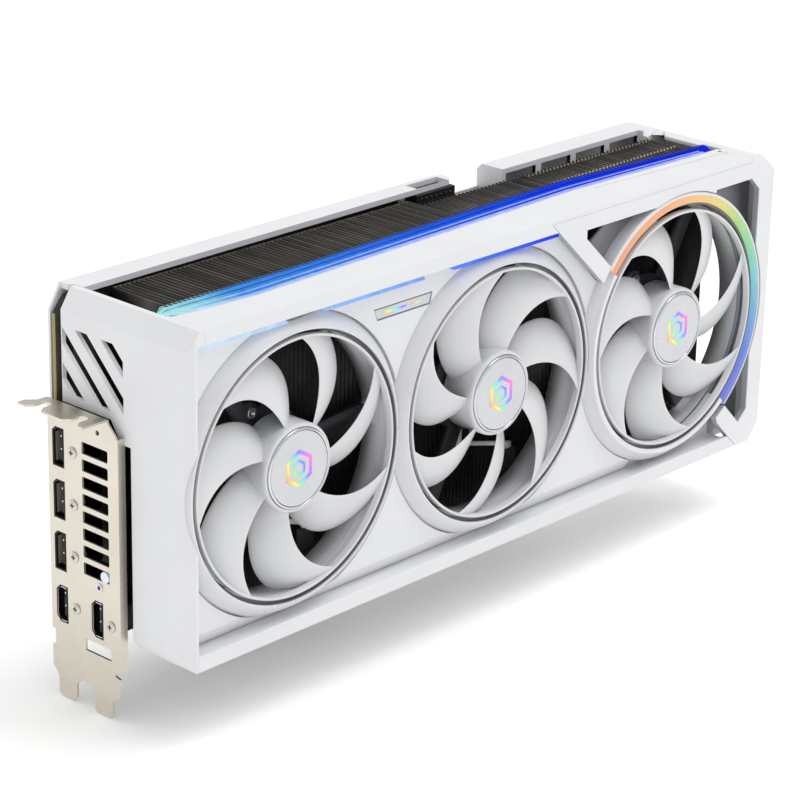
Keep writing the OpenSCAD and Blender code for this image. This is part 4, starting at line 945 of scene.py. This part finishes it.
def add_power_contacts():
    """Row of bright contacts on the power socket's front, below the flange."""
    low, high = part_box("power_connector")
    x0, x1 = (low.x - ORIGIN.x) / MM, (high.x - ORIGIN.x) / MM
    y, z = (low.y - ORIGIN.y) / MM, (high.z - ORIGIN.z) / MM
    shape = Shape()
    for k in range(7):
        x = x0 + 3 + (x1 - x0 - 6) * k / 6
        shape.box((x - 0.35, y - 0.25, z - 2.6), (x + 0.35, y + 0.1, z - 1.7), 0)
    shape.box((x0 + 0.6, y - 0.12, z - 4.6), (x1 - 0.6, y + 0.1, z - 3.4), 1)
    shape.build("power_socket_contacts", "card", ("chrome", "black"), bevel=0.08)


def add_rail_screw():
    """Small countersunk screw at the far end of the rail's groove."""
    x, y = 327.6, 15.9
    profile = ((0.01, 0.02), (0.55, 0.03), (0.6, 0.12), (0.95, 0.06), (1.0, -0.3), (0.01, -0.3))
    rows = []
    for k in range(24):
        a = 2 * math.pi * k / 24
        rows.append([(x + r * math.cos(a), y + r * math.sin(a), TOP_Z + d) for r, d in profile])
    # its centre is near-black painted shade for the hole in its head
    Shape().loft(rows, [1, 1, 0, 0, 0, 0]).build("rail_screw", "card", ("steel", "recess_shade"))


add_badge()
add_power_contacts()
add_rail_screw()

# ---------------------------------------------------------------- stage, camera and light
CAMERA_AT = (-634.7, -691.3, 466.0)
CAMERA_TURN = 47.21      # degrees right of straight at the front
CAMERA_DOWN = 20.81      # degrees below the horizon
CAMERA_ROLL = 1.22
LENS, SENSOR = 128.95, 36
WORLD_LIGHT, FLOOR_GLOW = 0.69, 0.2
AIM = (0.1, 0, 0.06)     # point the lights face, in metres in the row frame
FLOOR_Z = cad_low.z - 0.2 * MM


def add_camera():
    data = bpy.data.cameras.new("camera")
    data.lens = LENS
    data.sensor_width = SENSOR
    data.clip_start, data.clip_end = 0.01, 20
    ob = bpy.data.objects.new("camera", data)
    bpy.context.scene.collection.objects.link(ob)
    turn = Matrix.Rotation(math.radians(-CAMERA_TURN), 3, "Z")
    tilt = Matrix.Rotation(math.radians(90 - CAMERA_DOWN), 3, "X")
    roll = Matrix.Rotation(math.radians(CAMERA_ROLL), 3, "Z")
    ob.matrix_world = Matrix.Translation(at(*CAMERA_AT)) @ (turn @ tilt @ roll).to_4x4()
    bpy.context.scene.camera = ob


def add_area(name, place, size, power):
    data = bpy.data.lights.new(name, "AREA")
    data.shape = "RECTANGLE"
    data.size, data.size_y = size
    data.energy = power
    ob = bpy.data.objects.new(name, data)
    bpy.context.scene.collection.objects.link(ob)
    ob.location = place
    ob.rotation_mode = "QUATERNION"
    ob.rotation_quaternion = (Vector(AIM) - Vector(place)).to_track_quat("-Z", "Y")


def add_floor():
    bpy.ops.mesh.primitive_plane_add(size=12, location=(0, 0, FLOOR_Z))
    floor = bpy.context.object
    floor.name = "floor"
    paint = Paint("floor_white", "#f8f8f8", 0.9, Emission_Strength=FLOOR_GLOW)
    paint.mottle("#f7f7f7", "#fafafa", 3)
    paint.set("Emission Color", (1, 1, 1, 1))
    floor.data.materials.append(paint.mat)


def add_world():
    world = bpy.data.worlds.new("studio")
    bpy.context.scene.world = world
    world.use_nodes = True
    back = world.node_tree.nodes["Background"]
    back.inputs["Color"].default_value = (1, 1, 1, 1)
    back.inputs["Strength"].default_value = WORLD_LIGHT


add_camera()
add_floor()
add_world()
add_area("key", (1.0, -0.8, 2.8), (1.8, 1.6), 37)
add_area("rim", (-0.6, 1.6, 1.6), (1.6, 1.0), 6)
bpy.context.scene.view_settings.view_transform = "Standard"
